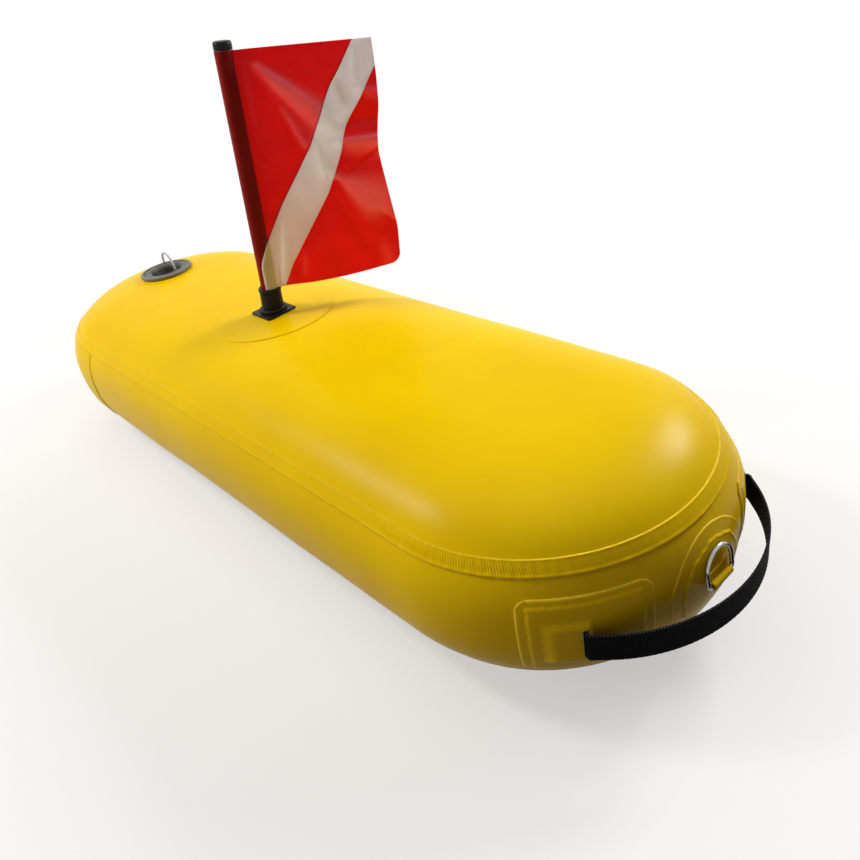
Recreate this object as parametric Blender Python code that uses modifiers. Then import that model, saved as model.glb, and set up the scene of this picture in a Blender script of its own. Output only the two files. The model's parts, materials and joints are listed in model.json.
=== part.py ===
"""Dive flag float: an inflated hull with a leaning flag mast, a recessed air valve at the stern,
a webbing carry handle round the bow and a tow ring on a folded tab.

Metres, +Z up, +X to the bow. The origin is the middle of the flat that the hull rests on.
"""
import math

import bmesh
import bpy
import numpy as np
from mathutils import Matrix, Vector

# ---- Fits ----
GAP = 0.0003            # between pieces that touch
MERGE = 0.00001         # points nearer than this are one point
CUT_RUN = 0.006         # how far a cutter runs past what it cuts

# ---- Hull: a rounded section swept round a straight core with half-round ends ----
HULL_LENGTH = 0.966
HULL_WIDTH = 0.330
HULL_HEIGHT = 0.175
HULL_FLAT = 0.0008      # how far the belly is pressed flat where it rests
HULL_WALL = 0.0010
CROWN_EXPONENT = 2.30
FLANK_EXPONENT = 3.51
SECTION_SAMPLES = 721
END_STEPS = 18          # facets round each half-round end
PANEL_RINGS = 7
PANEL_CROWDING = 1.4    # how much closer the rings lie near the seams
BAND_STEPS = 8

# ---- Hull seams ----
UPPER_SEAM_RISE = 0.0517            # above the middle height
LOWER_SEAM_DROP = 0.0600            # below the middle height
SEAM_TAPE_WIDTH = 0.0130
SEAM_TAPE_THICKNESS = 0.0006
SEAM_TAPE_STEPS = 2
JOINT_TAPE_AHEAD = 0.008            # the side band's joint, ahead of the stern's half round
JOINT_TAPE_WIDTH = 0.030
JOINT_TAPE_THICKNESS = 0.0006
PATCH_STEP = 0.010      # the widest facet on the hull's side

# ---- Mast patch and socket ----
MAST_AFT = 0.0698       # abaft the middle
MAST_PATCH_RADIUS = 0.070
MAST_PATCH_THICKNESS = 0.0008
MAST_PATCH_RINGS = 3
ROUND_STEPS = 32
MAST_LEAN = math.radians(5.7)       # how far the mast leans from upright
MAST_HEADING = math.radians(53.1)   # the way it leans, and the flag flies
SOCKET_PLATE_SIDE = 0.0385
SOCKET_PLATE_THICKNESS = 0.0022
SOCKET_PLATE_CORNER = 0.0030
SOCKET_RING_RADIUS = 0.0158
SOCKET_RING_HEIGHT = 0.0045
SOCKET_TUBE_RADIUS = 0.0125
SOCKET_HEIGHT = 0.0262
SOCKET_FLOOR = 0.0034
COLLAR_RADIUS = 0.0129
COLLAR_HEIGHT = 0.0046
COLLAR_GROOVE = 0.0008
COLLAR_GROOVE_WIDTH = 0.0010
TUBE_STEPS = 24

# ---- Mast ----
POLE_RADIUS = 0.0078
POLE_BORE_RADIUS = 0.0058
FERRULE_WALL = 0.0009
FERRULE_LENGTH = 0.0190
FERRULE_FOOT = 0.0020
RUNNING_GAP = 0.0001
TIP_CAP_RADIUS = 0.0092
TIP_CAP_HEIGHT = 0.0080
TIP_CAP_PLUG = 0.0120
TIP_CAP_ROUND = 0.0030

# ---- Flag ----
FLAG_HOIST = 0.2420     # height along the mast
FLAG_FLY = 0.153        # from the mast's axis to the free edge
FLAG_THICKNESS = 0.0008
SLEEVE_TUCK = 0.0030    # how far the sleeve's lower end sits in the socket's collar
FLAG_CORNER = 0.0120
FLAG_CORNER_STEPS = 4
FLAG_FLY_STEPS = 14
FLAG_HOIST_STEPS = 18
STRIPE_HALF_SPAN = 0.0178           # half the stripe, measured along the fly
STRIPE_FOOT = 0.0040                # its middle line's lower end, out from the mast's axis
SLEEVE_WALL = 0.0010
SLEEVE_ROOM = 0.0006                # sleeve's bore over the pole
SLEEVE_TAPER = 0.0004

# ---- Carry handle ----
HANDLE_DROP = 0.0056    # below the waist
WEBBING_WIDTH = 0.0250
WEBBING_THICKNESS = 0.0018
HANDLE_STANDOFF = 0.0255            # strap's middle line off the bow
SLOT_ANGLE = math.radians(39.3)     # round the bow from the nose
SPAN_ANGLE = math.radians(34.6)     # where the free span starts
SPAN_OFFSET = 0.0104                # the free span's end off the skin
TAIL_LENGTH = 0.0190
TAIL_BEND = 0.0014                  # bend radius out of the slot, to the middle line
EXIT_BEND = 0.0022                  # how far each side of its corner the next bend reaches
SLOT_LENGTH = 0.0262
SLOT_WIDTH = 0.0030
HANDLE_PATCH_ANGLE = math.radians(38.3)
HANDLE_PATCH_WIDTH = 0.100
HANDLE_PATCH_HEIGHT = 0.079
HANDLE_PATCH_CORNER = 0.010
HANDLE_PATCH_THICKNESS = 0.0008
HANDLE_PAD_WIDTH = 0.079
HANDLE_PAD_HEIGHT = 0.063
HANDLE_PAD_CORNER = 0.008
HANDLE_PAD_THICKNESS = 0.0006
BUMP_RAMP = 0.0035
BUMP_MARGIN = 0.0010
SPAN_STEPS = 24
WIDTH_STEPS = 2

# ---- Tow ring ----
RING_DROP = 0.0024      # the bar, below the waist
RING_HALF_WIDTH = 0.0150            # to the wire's middle line
RING_HEIGHT = 0.0270                # bar to crown, both on the middle line
RING_WIRE = 0.0035
RING_LEAN = math.radians(8.0)       # back on to the hull
RING_PATCH_DROP = 0.0067
RING_PATCH_RADIUS = 0.0475
RING_PATCH_THICKNESS = 0.0006
RING_PAD_RADIUS = 0.0270
RING_PAD_THICKNESS = 0.0005
RING_RINGS = 5
TAB_WIDTH = 0.0240
TAB_THICKNESS = 0.0014
TAB_TAIL = 0.0105
TAB_STEPS = 14

# ---- Air valve ----
VALVE_AFT = 0.030       # abaft the start of the stern's half round
VALVE_TILT = math.radians(1.2)      # it follows the crown's fall
VALVE_PATCH_MARGIN = 0.0048
VALVE_PATCH_THICKNESS = 0.0008
VALVE_PATCH_RINGS = 2
VALVE_RADIUS = 0.0352
VALVE_LIP_HEIGHT = 0.0040
VALVE_LIP_WIDTH = 0.0042
VALVE_WEB_THICKNESS = 0.0010
NECK_RADIUS = 0.0250
NECK_WALL = 0.0016
NECK_DEPTH = 0.0270
SEAT_DEPTH = 0.0200
SEAT_THICKNESS = 0.0020
SEAT_HOLE_RADIUS = 0.0095
HUB_RADIUS = 0.0045
STEM_RADIUS = 0.0022
SPOKE_WIDTH = 0.0024
VALVE_STEPS = 36
SEAL_THICKNESS = 0.0006
SEAL_WIDTH = 0.0035
CAP_FLANGE_THICKNESS = 0.0010
CAP_WALL = 0.0016
CAP_POCKET_RADIUS = 0.0195
CAP_POCKET_DEPTH = 0.0110
CAP_ROUND = 0.0012
POST_RADIUS = 0.0030
POST_HEIGHT = 0.0080
POST_OFFSET = 0.0135
POST_HEADING = math.radians(40.0)
POPPET_DISC_RADIUS = 0.0120
POPPET_DISC_THICKNESS = 0.0018
POPPET_BUTTON_RADIUS = 0.0060
POPPET_BUTTON_THICKNESS = 0.0016
POPPET_RISE = 0.0060                # button's underside above the seat plate
SPRING_RADIUS = 0.0035
SPRING_WIRE = 0.0006
SPRING_CURL_COUNT = 4
CURL_POINTS = 10

# ---- Cap leash ----
LEASH_WIRE = 0.0026
LUG_HEADING = math.radians(158.0)
LUG_REACH = 0.0052
LUG_WIDTH = 0.0080
LUG_THICKNESS = 0.0016
LEASH_RISE = 0.0200
LEASH_STEPS = 14

# ---- Looks: colour, roughness, metallic ----
FINISHES = {
    "pvc_yellow": ((0.93, 0.64, 0.01), 0.38, 0.0),
    "pvc_red": ((0.62, 0.01, 0.01), 0.35, 0.0),
    "pvc_white": ((0.72, 0.66, 0.58), 0.40, 0.0),
    "rubber_black": ((0.02, 0.02, 0.015), 0.55, 0.0),
    "webbing_black": ((0.012, 0.012, 0.012), 0.85, 0.0),
    "glass_fibre": ((0.70, 0.68, 0.60), 0.40, 0.0),
    "stainless_steel": ((0.62, 0.60, 0.57), 0.22, 1.0),
    "valve_grey": ((0.13, 0.14, 0.12), 0.45, 0.0),
    "seal_rubber": ((0.03, 0.03, 0.03), 0.60, 0.0),
    "cord_white": ((0.85, 0.85, 0.83), 0.60, 0.0),
}

CORE = (HULL_LENGTH - HULL_WIDTH) / 2
HALF_WIDTH = HULL_WIDTH / 2
HALF_HEIGHT = HULL_HEIGHT / 2
MIDDLE_Z = HALF_HEIGHT - HULL_FLAT
QUARTER_ROUND = math.pi * HALF_WIDTH / 2
MAST_X = -MAST_AFT
VALVE_X = -CORE - VALVE_AFT
HANDLE_Z = MIDDLE_Z - HANDLE_DROP
RING_Z = MIDDLE_Z - RING_DROP
HALF_TURN = math.pi
FULL_TURN = 2 * math.pi
SHARP = math.radians(35)


# ---- The scene, its collections and materials ----
def clear_scene():
    for item in list(bpy.data.objects):
        bpy.data.objects.remove(item, do_unlink=True)


def collection(name):
    found = bpy.data.collections.new(name)
    bpy.context.scene.collection.children.link(found)
    return found


def material(name):
    found = bpy.data.materials.get(name)
    if found:
        return found
    colour, roughness, metallic = FINISHES[name]
    made = bpy.data.materials.new(name)
    made.use_nodes = True
    shader = made.node_tree.nodes["Principled BSDF"]
    shader.inputs["Base Color"].default_value = (*colour, 1)
    shader.inputs["Roughness"].default_value = roughness
    shader.inputs["Metallic"].default_value = metallic
    made.diffuse_color = (*colour, 1)
    return made


def own_object(name, data, finish, home, frame):
    made = bpy.data.objects.new(name, data)
    made.matrix_world = frame
    home.objects.link(made)
    if finish:
        data.materials.append(material(finish))
    return made


def shade(mesh):
    mesh.shade_smooth()
    mesh.set_sharp_from_angle(angle=SHARP)


def mesh_object(name, work, finish, home, frame=Matrix()):
    """An object from a bmesh, which is freed."""
    mesh = bpy.data.meshes.new(name)
    work.to_mesh(mesh)
    work.free()
    shade(mesh)
    return own_object(name, mesh, finish, home, frame)


def combine(target, tool, operation, cutters):
    """One exact Boolean on target; the tool goes out of sight among the cutters."""
    step = target.modifiers.new(tool.name, "BOOLEAN")
    step.operation = operation
    step.solver = "EXACT"
    step.object = tool
    for owner in list(tool.users_collection):
        owner.objects.unlink(tool)
    cutters.objects.link(tool)
    tool.display_type = "WIRE"
    tool.hide_render = True


def lathe(name, profile, steps, finish, home, frame=Matrix()):
    """Turn a (radius, height) profile, given up its outer side, about local Z."""
    work = bmesh.new()
    points = [work.verts.new((radius, 0, height)) for radius, height in reversed(profile)]
    for start, end in zip(points, points[1:]):
        work.edges.new((start, end))
    if profile[0][0]:
        work.edges.new((points[-1], points[0]))
    made = mesh_object(name, work, finish, home, frame)
    turn = made.modifiers.new("turn", "SCREW")
    turn.axis = "Z"
    turn.steps = steps
    turn.render_steps = steps
    turn.use_merge_vertices = True
    turn.merge_threshold = MERGE
    turn.use_smooth_shade = False
    return made


def ring_profile(inner, outer, low, high):
    return [(inner, low), (outer, low), (outer, high), (inner, high)]


def block(name, low, high, finish, home, frame=Matrix()):
    """A box between two corners."""
    size = Vector(high) - Vector(low)
    work = bmesh.new()
    bmesh.ops.create_cube(work, size=1)
    bmesh.ops.scale(work, vec=size, verts=work.verts)
    bmesh.ops.translate(work, vec=Vector(low) + size / 2, verts=work.verts)
    return mesh_object(name, work, finish, home, frame)


def wire(name, points, radius, resolution, closed, finish, home, frame=Matrix()):
    """A round wire through the points, with filled ends unless it closes on itself."""
    data = bpy.data.curves.new(name, "CURVE")
    data.dimensions = "3D"
    data.bevel_depth = radius
    data.bevel_resolution = resolution
    data.use_fill_caps = not closed
    spline = data.splines.new("POLY")
    spline.points.add(len(points) - 1)
    for place, point in zip(spline.points, points):
        place.co = (*point, 1)
    spline.use_cyclic_u = closed
    spline.use_smooth = True
    return own_object(name, data, finish, home, frame)


def sheet(name, points, faces, at, thickness, offset, finish, home, frame=Matrix()):
    """A flat gridded pattern carried to a surface by at(), then given its thickness."""
    work = bmesh.new()
    placed = [work.verts.new(at(*point)) for point in points]
    for face in faces:
        work.faces.new([placed[index] for index in face])
    bmesh.ops.remove_doubles(work, verts=work.verts, dist=MERGE)
    made = mesh_object(name, work, finish, home, frame)
    thicken = made.modifiers.new("thickness", "SOLIDIFY")
    thicken.thickness = thickness
    thicken.offset = offset
    return made


# ---- The hull's skin ----
def section_table():
    """The hull's half section: girth from the middle height, reach, height and outward normal."""
    angle = np.linspace(-HALF_TURN / 2, HALF_TURN / 2, SECTION_SAMPLES)
    sine = np.sin(angle)
    cosine = np.clip(np.cos(angle), 0, 1)
    reach = HALF_WIDTH * cosine ** (2 / FLANK_EXPONENT)
    rise = HALF_HEIGHT * np.sign(sine) * np.abs(sine) ** (2 / CROWN_EXPONENT)
    out = FLANK_EXPONENT * (reach / HALF_WIDTH) ** (FLANK_EXPONENT - 1) / HALF_WIDTH
    up = (CROWN_EXPONENT * np.sign(rise) * (np.abs(rise) / HALF_HEIGHT) ** (CROWN_EXPONENT - 1)
          / HALF_HEIGHT)
    length = np.hypot(out, up)
    girth = np.concatenate([[0], np.cumsum(np.hypot(np.diff(reach), np.diff(rise)))])
    girth -= girth[SECTION_SAMPLES // 2]
    return {"girth": girth, "reach": reach, "rise": rise, "out": out / length, "up": up / length}


SECTION = section_table()
CROWN_GIRTH = float(SECTION["girth"][-1])


def look_up(column, girth):
    return float(np.interp(girth, SECTION["girth"], SECTION[column]))


def girth_at_rise(rise):
    return float(np.interp(rise, SECTION["rise"], SECTION["girth"]))


UPPER_SEAM = girth_at_rise(UPPER_SEAM_RISE)
LOWER_SEAM = girth_at_rise(-LOWER_SEAM_DROP)


def skin(girth, lift):
    """Reach and height of the skin at a girth, lifted off it, and flat where the hull rests."""
    reach = look_up("reach", girth) + lift * look_up("out", girth)
    height = MIDDLE_Z + look_up("rise", girth) + lift * look_up("up", girth)
    return max(reach, 0), max(height, -lift)


def hull_point(along, girth, lift):
    """A point on the hull's side: along is measured round the waist from the nose, + to port."""
    reach, height = skin(girth, lift)
    side = 1 if along >= 0 else -1
    distance = abs(along)
    if distance <= QUARTER_ROUND:
        angle = distance / HALF_WIDTH
        return Vector((CORE + reach * math.cos(angle), side * reach * math.sin(angle), height))
    straight = distance - QUARTER_ROUND
    if straight <= 2 * CORE:
        return Vector((CORE - straight, side * reach, height))
    angle = (straight - 2 * CORE) / HALF_WIDTH
    return Vector((-CORE - reach * math.sin(angle), side * reach * math.cos(angle), height))


def crown_height(x, y, lift):
    """The top skin's height at a place, lifted off it."""
    distance = math.hypot(max(abs(x) - CORE, 0), y)
    half = SECTION_SAMPLES // 2
    rise = float(np.interp(-distance, -SECTION["reach"][half:], SECTION["rise"][half:]))
    return MIDDLE_Z + rise + lift


CROWN_Z = MIDDLE_Z + HALF_HEIGHT
SEAT_Z = CROWN_Z + GAP + MAST_PATCH_THICKNESS + GAP     # under the socket's plate


def hull_stations():
    """Core points and headings round the hull, one for each facet edge."""
    stations = []
    for end in (1, -1):
        for step in range(END_STEPS + 1):
            angle = HALF_TURN * (step / END_STEPS - 1 / 2)
            stations.append((end * CORE, end * math.cos(angle), end * math.sin(angle)))
    return stations


def girth_steps(start, end, count):
    return [start + (end - start) * step / count for step in range(count + 1)]


def grid_faces(columns, rows):
    """Quads of a grid whose points run row by row inside each column."""
    faces = []
    for column in range(columns):
        for row in range(rows):
            corner = column * (rows + 1) + row
            faces.append((corner, corner + rows + 1, corner + rows + 2, corner + 1))
    return faces


def sweep_hull(name, girths, lift, thickness, offset, home):
    """Carry a stretch of the section, bottom to top, right round the hull."""
    stations = hull_stations()
    rows = len(girths) - 1
    points = [(station, girth) for station in stations + stations[:1] for girth in girths]

    def at(station, girth):
        core_x, cosine, sine = station
        reach, height = skin(girth, lift)
        return Vector((core_x + reach * cosine, reach * sine, height))

    made = sheet(name, points, grid_faces(len(stations), rows), at, thickness, offset, "pvc_yellow", home)
    return made


def panel_steps(seam, crown):
    """Rings of a panel, closer together where it turns down to its seam."""
    return [seam + (crown - seam) * share ** PANEL_CROWDING for share in girth_steps(0, 1, PANEL_RINGS)]


def hull_panels(home):
    """The top and bottom panels, from the core line out to their seams, and the band between."""
    top = panel_steps(UPPER_SEAM + GAP / 2, CROWN_GIRTH)
    bottom = panel_steps(LOWER_SEAM - GAP / 2, -CROWN_GIRTH)[::-1]
    band = girth_steps(LOWER_SEAM + GAP / 2, UPPER_SEAM - GAP / 2, BAND_STEPS)
    sweep_hull("hull_bottom_panel", bottom, 0, HULL_WALL, -1, home)
    sweep_hull("hull_side_band", band, 0, HULL_WALL, -1, home)
    return sweep_hull("hull_top_panel", top, 0, HULL_WALL, -1, home)


def seam_tape(name, seam, home):
    """Welded tape over a seam."""
    half = SEAM_TAPE_WIDTH / 2
    girths = girth_steps(seam - half, seam + half, SEAM_TAPE_STEPS)
    return sweep_hull(name, girths, GAP, SEAM_TAPE_THICKNESS, 1, home)


# ---- Patches laid on the hull ----
def disc_mesh(radii, steps):
    """Points and faces of a flat disc, or of a ring when its first radius isn't zero."""
    points = []
    for radius in radii:
        for step in range(steps):
            angle = FULL_TURN * step / steps
            points.append((radius * math.cos(angle), radius * math.sin(angle)))
    faces = []
    for ring in range(len(radii) - 1):
        base = ring * steps
        for step in range(steps):
            after = (step + 1) % steps
            faces.append((base + step, base + steps + step, base + steps + after, base + after))
    return points, faces


def rounded_mesh(columns, rows, corner):
    """Points and faces of a rounded rectangle whose grid lines are given."""
    half_width = max(columns)
    half_height = max(rows)
    points = []
    for x in columns:
        for y in rows:
            over_x = abs(x) - (half_width - corner)
            over_y = abs(y) - (half_height - corner)
            if over_x > 0 and over_y > 0:
                reach = math.hypot(over_x, over_y)
                square = max(over_x, over_y)
                x = math.copysign(half_width - corner + over_x * square / reach, x)
                y = math.copysign(half_height - corner + over_y * square / reach, y)
            points.append((x, y))
    return points, grid_faces(len(columns) - 1, len(rows) - 1)


def skin_patch(name, flat, along, girth, lift, thickness, home):
    """A patch on the hull's side; lift(x, y) says how high its underside rides."""
    points, faces = flat

    def at(x, y):
        return hull_point(along + x, girth + y, lift(x, y))

    return sheet(name, points, faces, at, thickness, 1, "pvc_yellow", home)


def crown_patch(name, flat, x, lift, thickness, home):
    """A patch on the crown about a point of the middle line."""
    points, faces = flat

    def at(ahead, across):
        return Vector((x + ahead, across, crown_height(x + ahead, across, lift)))

    return sheet(name, points, faces, at, thickness, 1, "pvc_yellow", home)


def filled_lines(marks):
    """The marks in order, with lines between them wherever they are too far apart."""
    lines = sorted(marks)
    result = lines[:1]
    for start, end in zip(lines, lines[1:]):
        if end - start > MERGE:
            result += girth_steps(start, end, math.ceil((end - start) / PATCH_STEP))[1:]
    return result


def joint_tape(home):
    """The upright tape where the side band's ends are joined."""
    middle = -(QUARTER_ROUND + 2 * CORE - JOINT_TAPE_AHEAD)
    edge = SEAM_TAPE_WIDTH / 2 + GAP
    columns = filled_lines([-JOINT_TAPE_WIDTH / 2, JOINT_TAPE_WIDTH / 2])
    rows = filled_lines([LOWER_SEAM + edge, UPPER_SEAM - edge])
    points = [(x, y) for x in columns for y in rows]
    flat = (points, grid_faces(len(columns) - 1, len(rows) - 1))
    return skin_patch("band_joint_tape", flat, middle, 0, lambda x, y: GAP, JOINT_TAPE_THICKNESS, home)


def mast_patch(home):
    """The round patch welded on the crown under the socket."""
    flat = disc_mesh(girth_steps(0, MAST_PATCH_RADIUS, MAST_PATCH_RINGS), ROUND_STEPS)
    return crown_patch("mast_patch", flat, MAST_X, GAP, MAST_PATCH_THICKNESS, home)


# ---- Mast ----
def mast_frame():
    """Local Z up the leaning mast from the crown, local X along the flag."""
    return (Matrix.Translation((MAST_X, 0, CROWN_Z)) @ Matrix.Rotation(MAST_HEADING, 4, "Z")
            @ Matrix.Rotation(MAST_LEAN, 4, "Y"))


PLATE_TOP = SEAT_Z - CROWN_Z + SOCKET_PLATE_THICKNESS
SLEEVE_BORE = POLE_RADIUS + SLEEVE_ROOM
SLEEVE_RADIUS = SLEEVE_BORE + SLEEVE_WALL
SOCKET_BORE = POLE_RADIUS + FERRULE_WALL + 2 * RUNNING_GAP
SOCKET_BOTTOM = PLATE_TOP + SOCKET_FLOOR
POLE_FOOT = SOCKET_BOTTOM + GAP + FERRULE_FOOT + GAP
COLLAR_LOW = SOCKET_HEIGHT + GAP
FLAG_FOOT = COLLAR_LOW + COLLAR_HEIGHT + GAP
SLEEVE_FOOT = FLAG_FOOT - SLEEVE_TUCK
POLE_TOP = FLAG_FOOT + FLAG_HOIST + GAP


def mast_socket(home, cutters):
    """Moulded socket: a square plate on the patch, a base ring and a leaning tube."""
    work = bmesh.new()
    bmesh.ops.create_cube(work, size=1)
    bmesh.ops.scale(work, vec=(SOCKET_PLATE_SIDE, SOCKET_PLATE_SIDE, SOCKET_PLATE_THICKNESS),
                    verts=work.verts)
    upright = [edge for edge in work.edges
               if abs(edge.verts[0].co.z - edge.verts[1].co.z) > SOCKET_PLATE_THICKNESS / 2]
    bmesh.ops.bevel(work, geom=upright, offset=SOCKET_PLATE_CORNER, segments=FLAG_CORNER_STEPS,
                    profile=1 / 2, affect="EDGES")
    middle = SEAT_Z + SOCKET_PLATE_THICKNESS / 2
    made = mesh_object("mast_socket", work, "rubber_black", home, Matrix.Translation((MAST_X, 0, middle)))
    sunk = -SOCKET_PLATE_THICKNESS / 4
    ring_top = SOCKET_PLATE_THICKNESS / 2 + SOCKET_RING_HEIGHT
    ring = lathe("socket_ring_body", [(0, sunk), (SOCKET_RING_RADIUS, sunk), (SOCKET_RING_RADIUS, ring_top),
                                      (0, ring_top)],
                 TUBE_STEPS, None, home, Matrix.Translation((MAST_X, 0, middle)))
    low = PLATE_TOP + SOCKET_RING_HEIGHT / 2
    tube = lathe("socket_tube_body", [(0, low), (SOCKET_TUBE_RADIUS, low),
                                      (SOCKET_TUBE_RADIUS, SOCKET_HEIGHT), (0, SOCKET_HEIGHT)],
                 TUBE_STEPS, None, home, mast_frame())
    bore = lathe("socket_bore", [(0, SOCKET_BOTTOM), (SOCKET_BORE, SOCKET_BOTTOM),
                                 (SOCKET_BORE, SOCKET_HEIGHT + CUT_RUN), (0, SOCKET_HEIGHT + CUT_RUN)],
                 TUBE_STEPS, None, home, mast_frame())
    combine(made, ring, "UNION", cutters)
    combine(made, tube, "UNION", cutters)
    combine(made, bore, "DIFFERENCE", cutters)
    return made


def socket_collar(home):
    """The rim clipped on the socket's mouth, with a groove round its foot."""
    low = COLLAR_LOW
    groove_top = low + COLLAR_GROOVE_WIDTH
    high = low + COLLAR_HEIGHT
    outer = COLLAR_RADIUS
    inner = SLEEVE_RADIUS + GAP
    floor = SOCKET_BORE
    step = SLEEVE_FOOT - GAP
    profile = [(floor, low), (outer - COLLAR_GROOVE, low), (outer - COLLAR_GROOVE, groove_top),
               (outer, groove_top), (outer, high - COLLAR_GROOVE), (outer - COLLAR_GROOVE, high),
               (inner, high), (inner, step), (floor, step)]
    return lathe("socket_collar", profile, TUBE_STEPS, "rubber_black", home, mast_frame())


def mast_pole(home):
    """The hollow glass-fibre mast."""
    profile = ring_profile(POLE_BORE_RADIUS, POLE_RADIUS, POLE_FOOT, POLE_TOP)
    return lathe("mast_pole", profile, TUBE_STEPS, "glass_fibre", home, mast_frame())


def mast_ferrule(home):
    """The plastic foot that fits the socket."""
    low = SOCKET_BOTTOM + GAP
    inner = POLE_RADIUS + RUNNING_GAP
    outer = inner + FERRULE_WALL
    high = low + FERRULE_LENGTH
    profile = [(0, low), (outer, low), (outer, high), (inner, high), (inner, low + FERRULE_FOOT),
               (0, low + FERRULE_FOOT)]
    return lathe("mast_ferrule", profile, TUBE_STEPS, "rubber_black", home, mast_frame())


def tip_cap(home):
    """The cap plugged in the mast's top."""
    plug = POLE_BORE_RADIUS - RUNNING_GAP
    low = POLE_TOP + GAP
    high = low + TIP_CAP_HEIGHT
    profile = [(0, POLE_TOP - TIP_CAP_PLUG), (plug, POLE_TOP - TIP_CAP_PLUG), (plug, low),
               (TIP_CAP_RADIUS, low), (TIP_CAP_RADIUS, high - TIP_CAP_ROUND)]
    for step in range(1, FLAG_CORNER_STEPS + 1):
        angle = HALF_TURN / 2 * step / FLAG_CORNER_STEPS
        profile.append((TIP_CAP_RADIUS - TIP_CAP_ROUND * (1 - math.cos(angle)),
                        high - TIP_CAP_ROUND * (1 - math.sin(angle))))
    profile.append((0, high))
    return lathe("mast_tip_cap", profile, TUBE_STEPS, "rubber_black", home, mast_frame())


# ---- Flag ----
# Waves of the cloth, out of its own plane: size, and where it peaks as shares of the fly and
# of the hoist, then its reach in those shares and its slant.
FLAG_FOLD_DEPTHS = (-0.0100, 0.0070, -0.0080, 0.0030)
FLAG_FOLD_SHARES = (
    (0.50, 0.66, 0.16, 0.40, 1.80),
    (0.58, 0.44, 0.18, 0.30, 1.60),
    (0.85, 0.22, 0.30, 0.25, 0.60),
    (0.20, 0.18, 0.12, 0.22, 0.10),
)
FLAG_CURL = 0.0120      # the free edge bends back this far
FLAG_CURL_SHARE = 0.45
FLAG_DRAWN = 0.0100     # how far the folds draw the free edge in
FLAG_DRAWN_SHARES = (0.70, 0.42)    # where along the hoist, and how tall


def flag_share(out):
    return (out - SLEEVE_RADIUS) / (FLAG_FLY - SLEEVE_RADIUS)


def flag_bulge(out, up):
    """How far the cloth stands off its own plane."""
    across = flag_share(out)
    height = up / FLAG_HOIST
    bulge = 0
    for depth, shares in zip(FLAG_FOLD_DEPTHS, FLAG_FOLD_SHARES):
        peak_across, peak_height, wide, tall, slant = shares
        off_height = height - peak_height
        off_across = across - peak_across + slant * off_height
        bulge += depth * math.exp(-(off_across / wide) ** 2 - (off_height / tall) ** 2)
    curl = max(across - 1 + FLAG_CURL_SHARE, 0) / FLAG_CURL_SHARE
    return bulge * min(across / FLAG_CURL_SHARE, 1) + FLAG_CURL * curl ** 2


def flag_point(out, up):
    """A point of the cloth in the mast's frame; out from the mast's axis, up from the foot."""
    peak, tall = FLAG_DRAWN_SHARES
    drawn = FLAG_DRAWN * flag_share(out) ** 2 * math.exp(-((up / FLAG_HOIST - peak) / tall) ** 2)
    return Vector((out - drawn, flag_bulge(out, up), FLAG_FOOT + up))


def stripe_line(up):
    """The stripe's middle line runs from the mast's foot to the top of the fly."""
    return STRIPE_FOOT + (FLAG_FLY - STRIPE_FOOT) * up / FLAG_HOIST


def flag_cuts():
    """Lines in the flat flag: a point on each, and the side that is dropped, if any."""
    slope = Vector((stripe_line(FLAG_HOIST) - stripe_line(0), FLAG_HOIST, 0)).normalized()
    square = Vector((slope.y, -slope.x, 0))
    lines = []
    for edge in (-STRIPE_HALF_SPAN, STRIPE_HALF_SPAN):
        for margin in (-GAP / 2, GAP / 2):
            lines.append((Vector((stripe_line(0) + edge, 0, 0)) + margin * square, square, False))
    centre = Vector((FLAG_FLY - FLAG_CORNER, FLAG_CORNER, 0))
    for step in range(FLAG_CORNER_STEPS):
        angle = HALF_TURN / 2 * (step + 1 / 2) / FLAG_CORNER_STEPS
        away = Vector((math.cos(angle), -math.sin(angle), 0))
        lines.append((centre + FLAG_CORNER * away, away, True))
    return lines


def flag_cloth(home):
    """The red fields and the white stripe, cut from one gridded cloth."""
    columns = girth_steps(SLEEVE_RADIUS + GAP, FLAG_FLY, FLAG_FLY_STEPS)
    rows = girth_steps(0, FLAG_HOIST, FLAG_HOIST_STEPS)
    work = bmesh.new()
    points = [work.verts.new((x, y, 0)) for x in columns for y in rows]
    for face in grid_faces(FLAG_FLY_STEPS, FLAG_HOIST_STEPS):
        work.faces.new([points[index] for index in face])
    for place, normal, drop in flag_cuts():
        everything = work.verts[:] + work.edges[:] + work.faces[:]
        bmesh.ops.bisect_plane(work, geom=everything, dist=MERGE, plane_co=place, plane_no=normal,
                               clear_outer=drop)
    work.verts.index_update()
    flat_points = [(vertex.co.x, vertex.co.y) for vertex in work.verts]
    pieces = {"flag_field_upper": [], "flag_stripe": [], "flag_field_lower": []}
    slope = Vector((FLAG_FLY - STRIPE_FOOT, FLAG_HOIST)).normalized()
    for face in work.faces:
        middle = face.calc_center_median()
        off = (middle.x - stripe_line(middle.y))
        near_edge = abs(abs(off) - STRIPE_HALF_SPAN) * slope.y
        if near_edge < GAP / 2:
            continue
        if off < -STRIPE_HALF_SPAN:
            piece = "flag_field_upper"
        elif off > STRIPE_HALF_SPAN:
            piece = "flag_field_lower"
        else:
            piece = "flag_stripe"
        pieces[piece].append([vertex.index for vertex in face.verts])
    work.free()
    for name, faces in pieces.items():
        used = sorted({index for face in faces for index in face})
        order = {index: place for place, index in enumerate(used)}
        finish = "pvc_white" if name == "flag_stripe" else "pvc_red"
        sheet(name, [flat_points[index] for index in used],
              [tuple(order[index] for index in face) for face in faces],
              flag_point, FLAG_THICKNESS, 0, finish, home, mast_frame())


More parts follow.
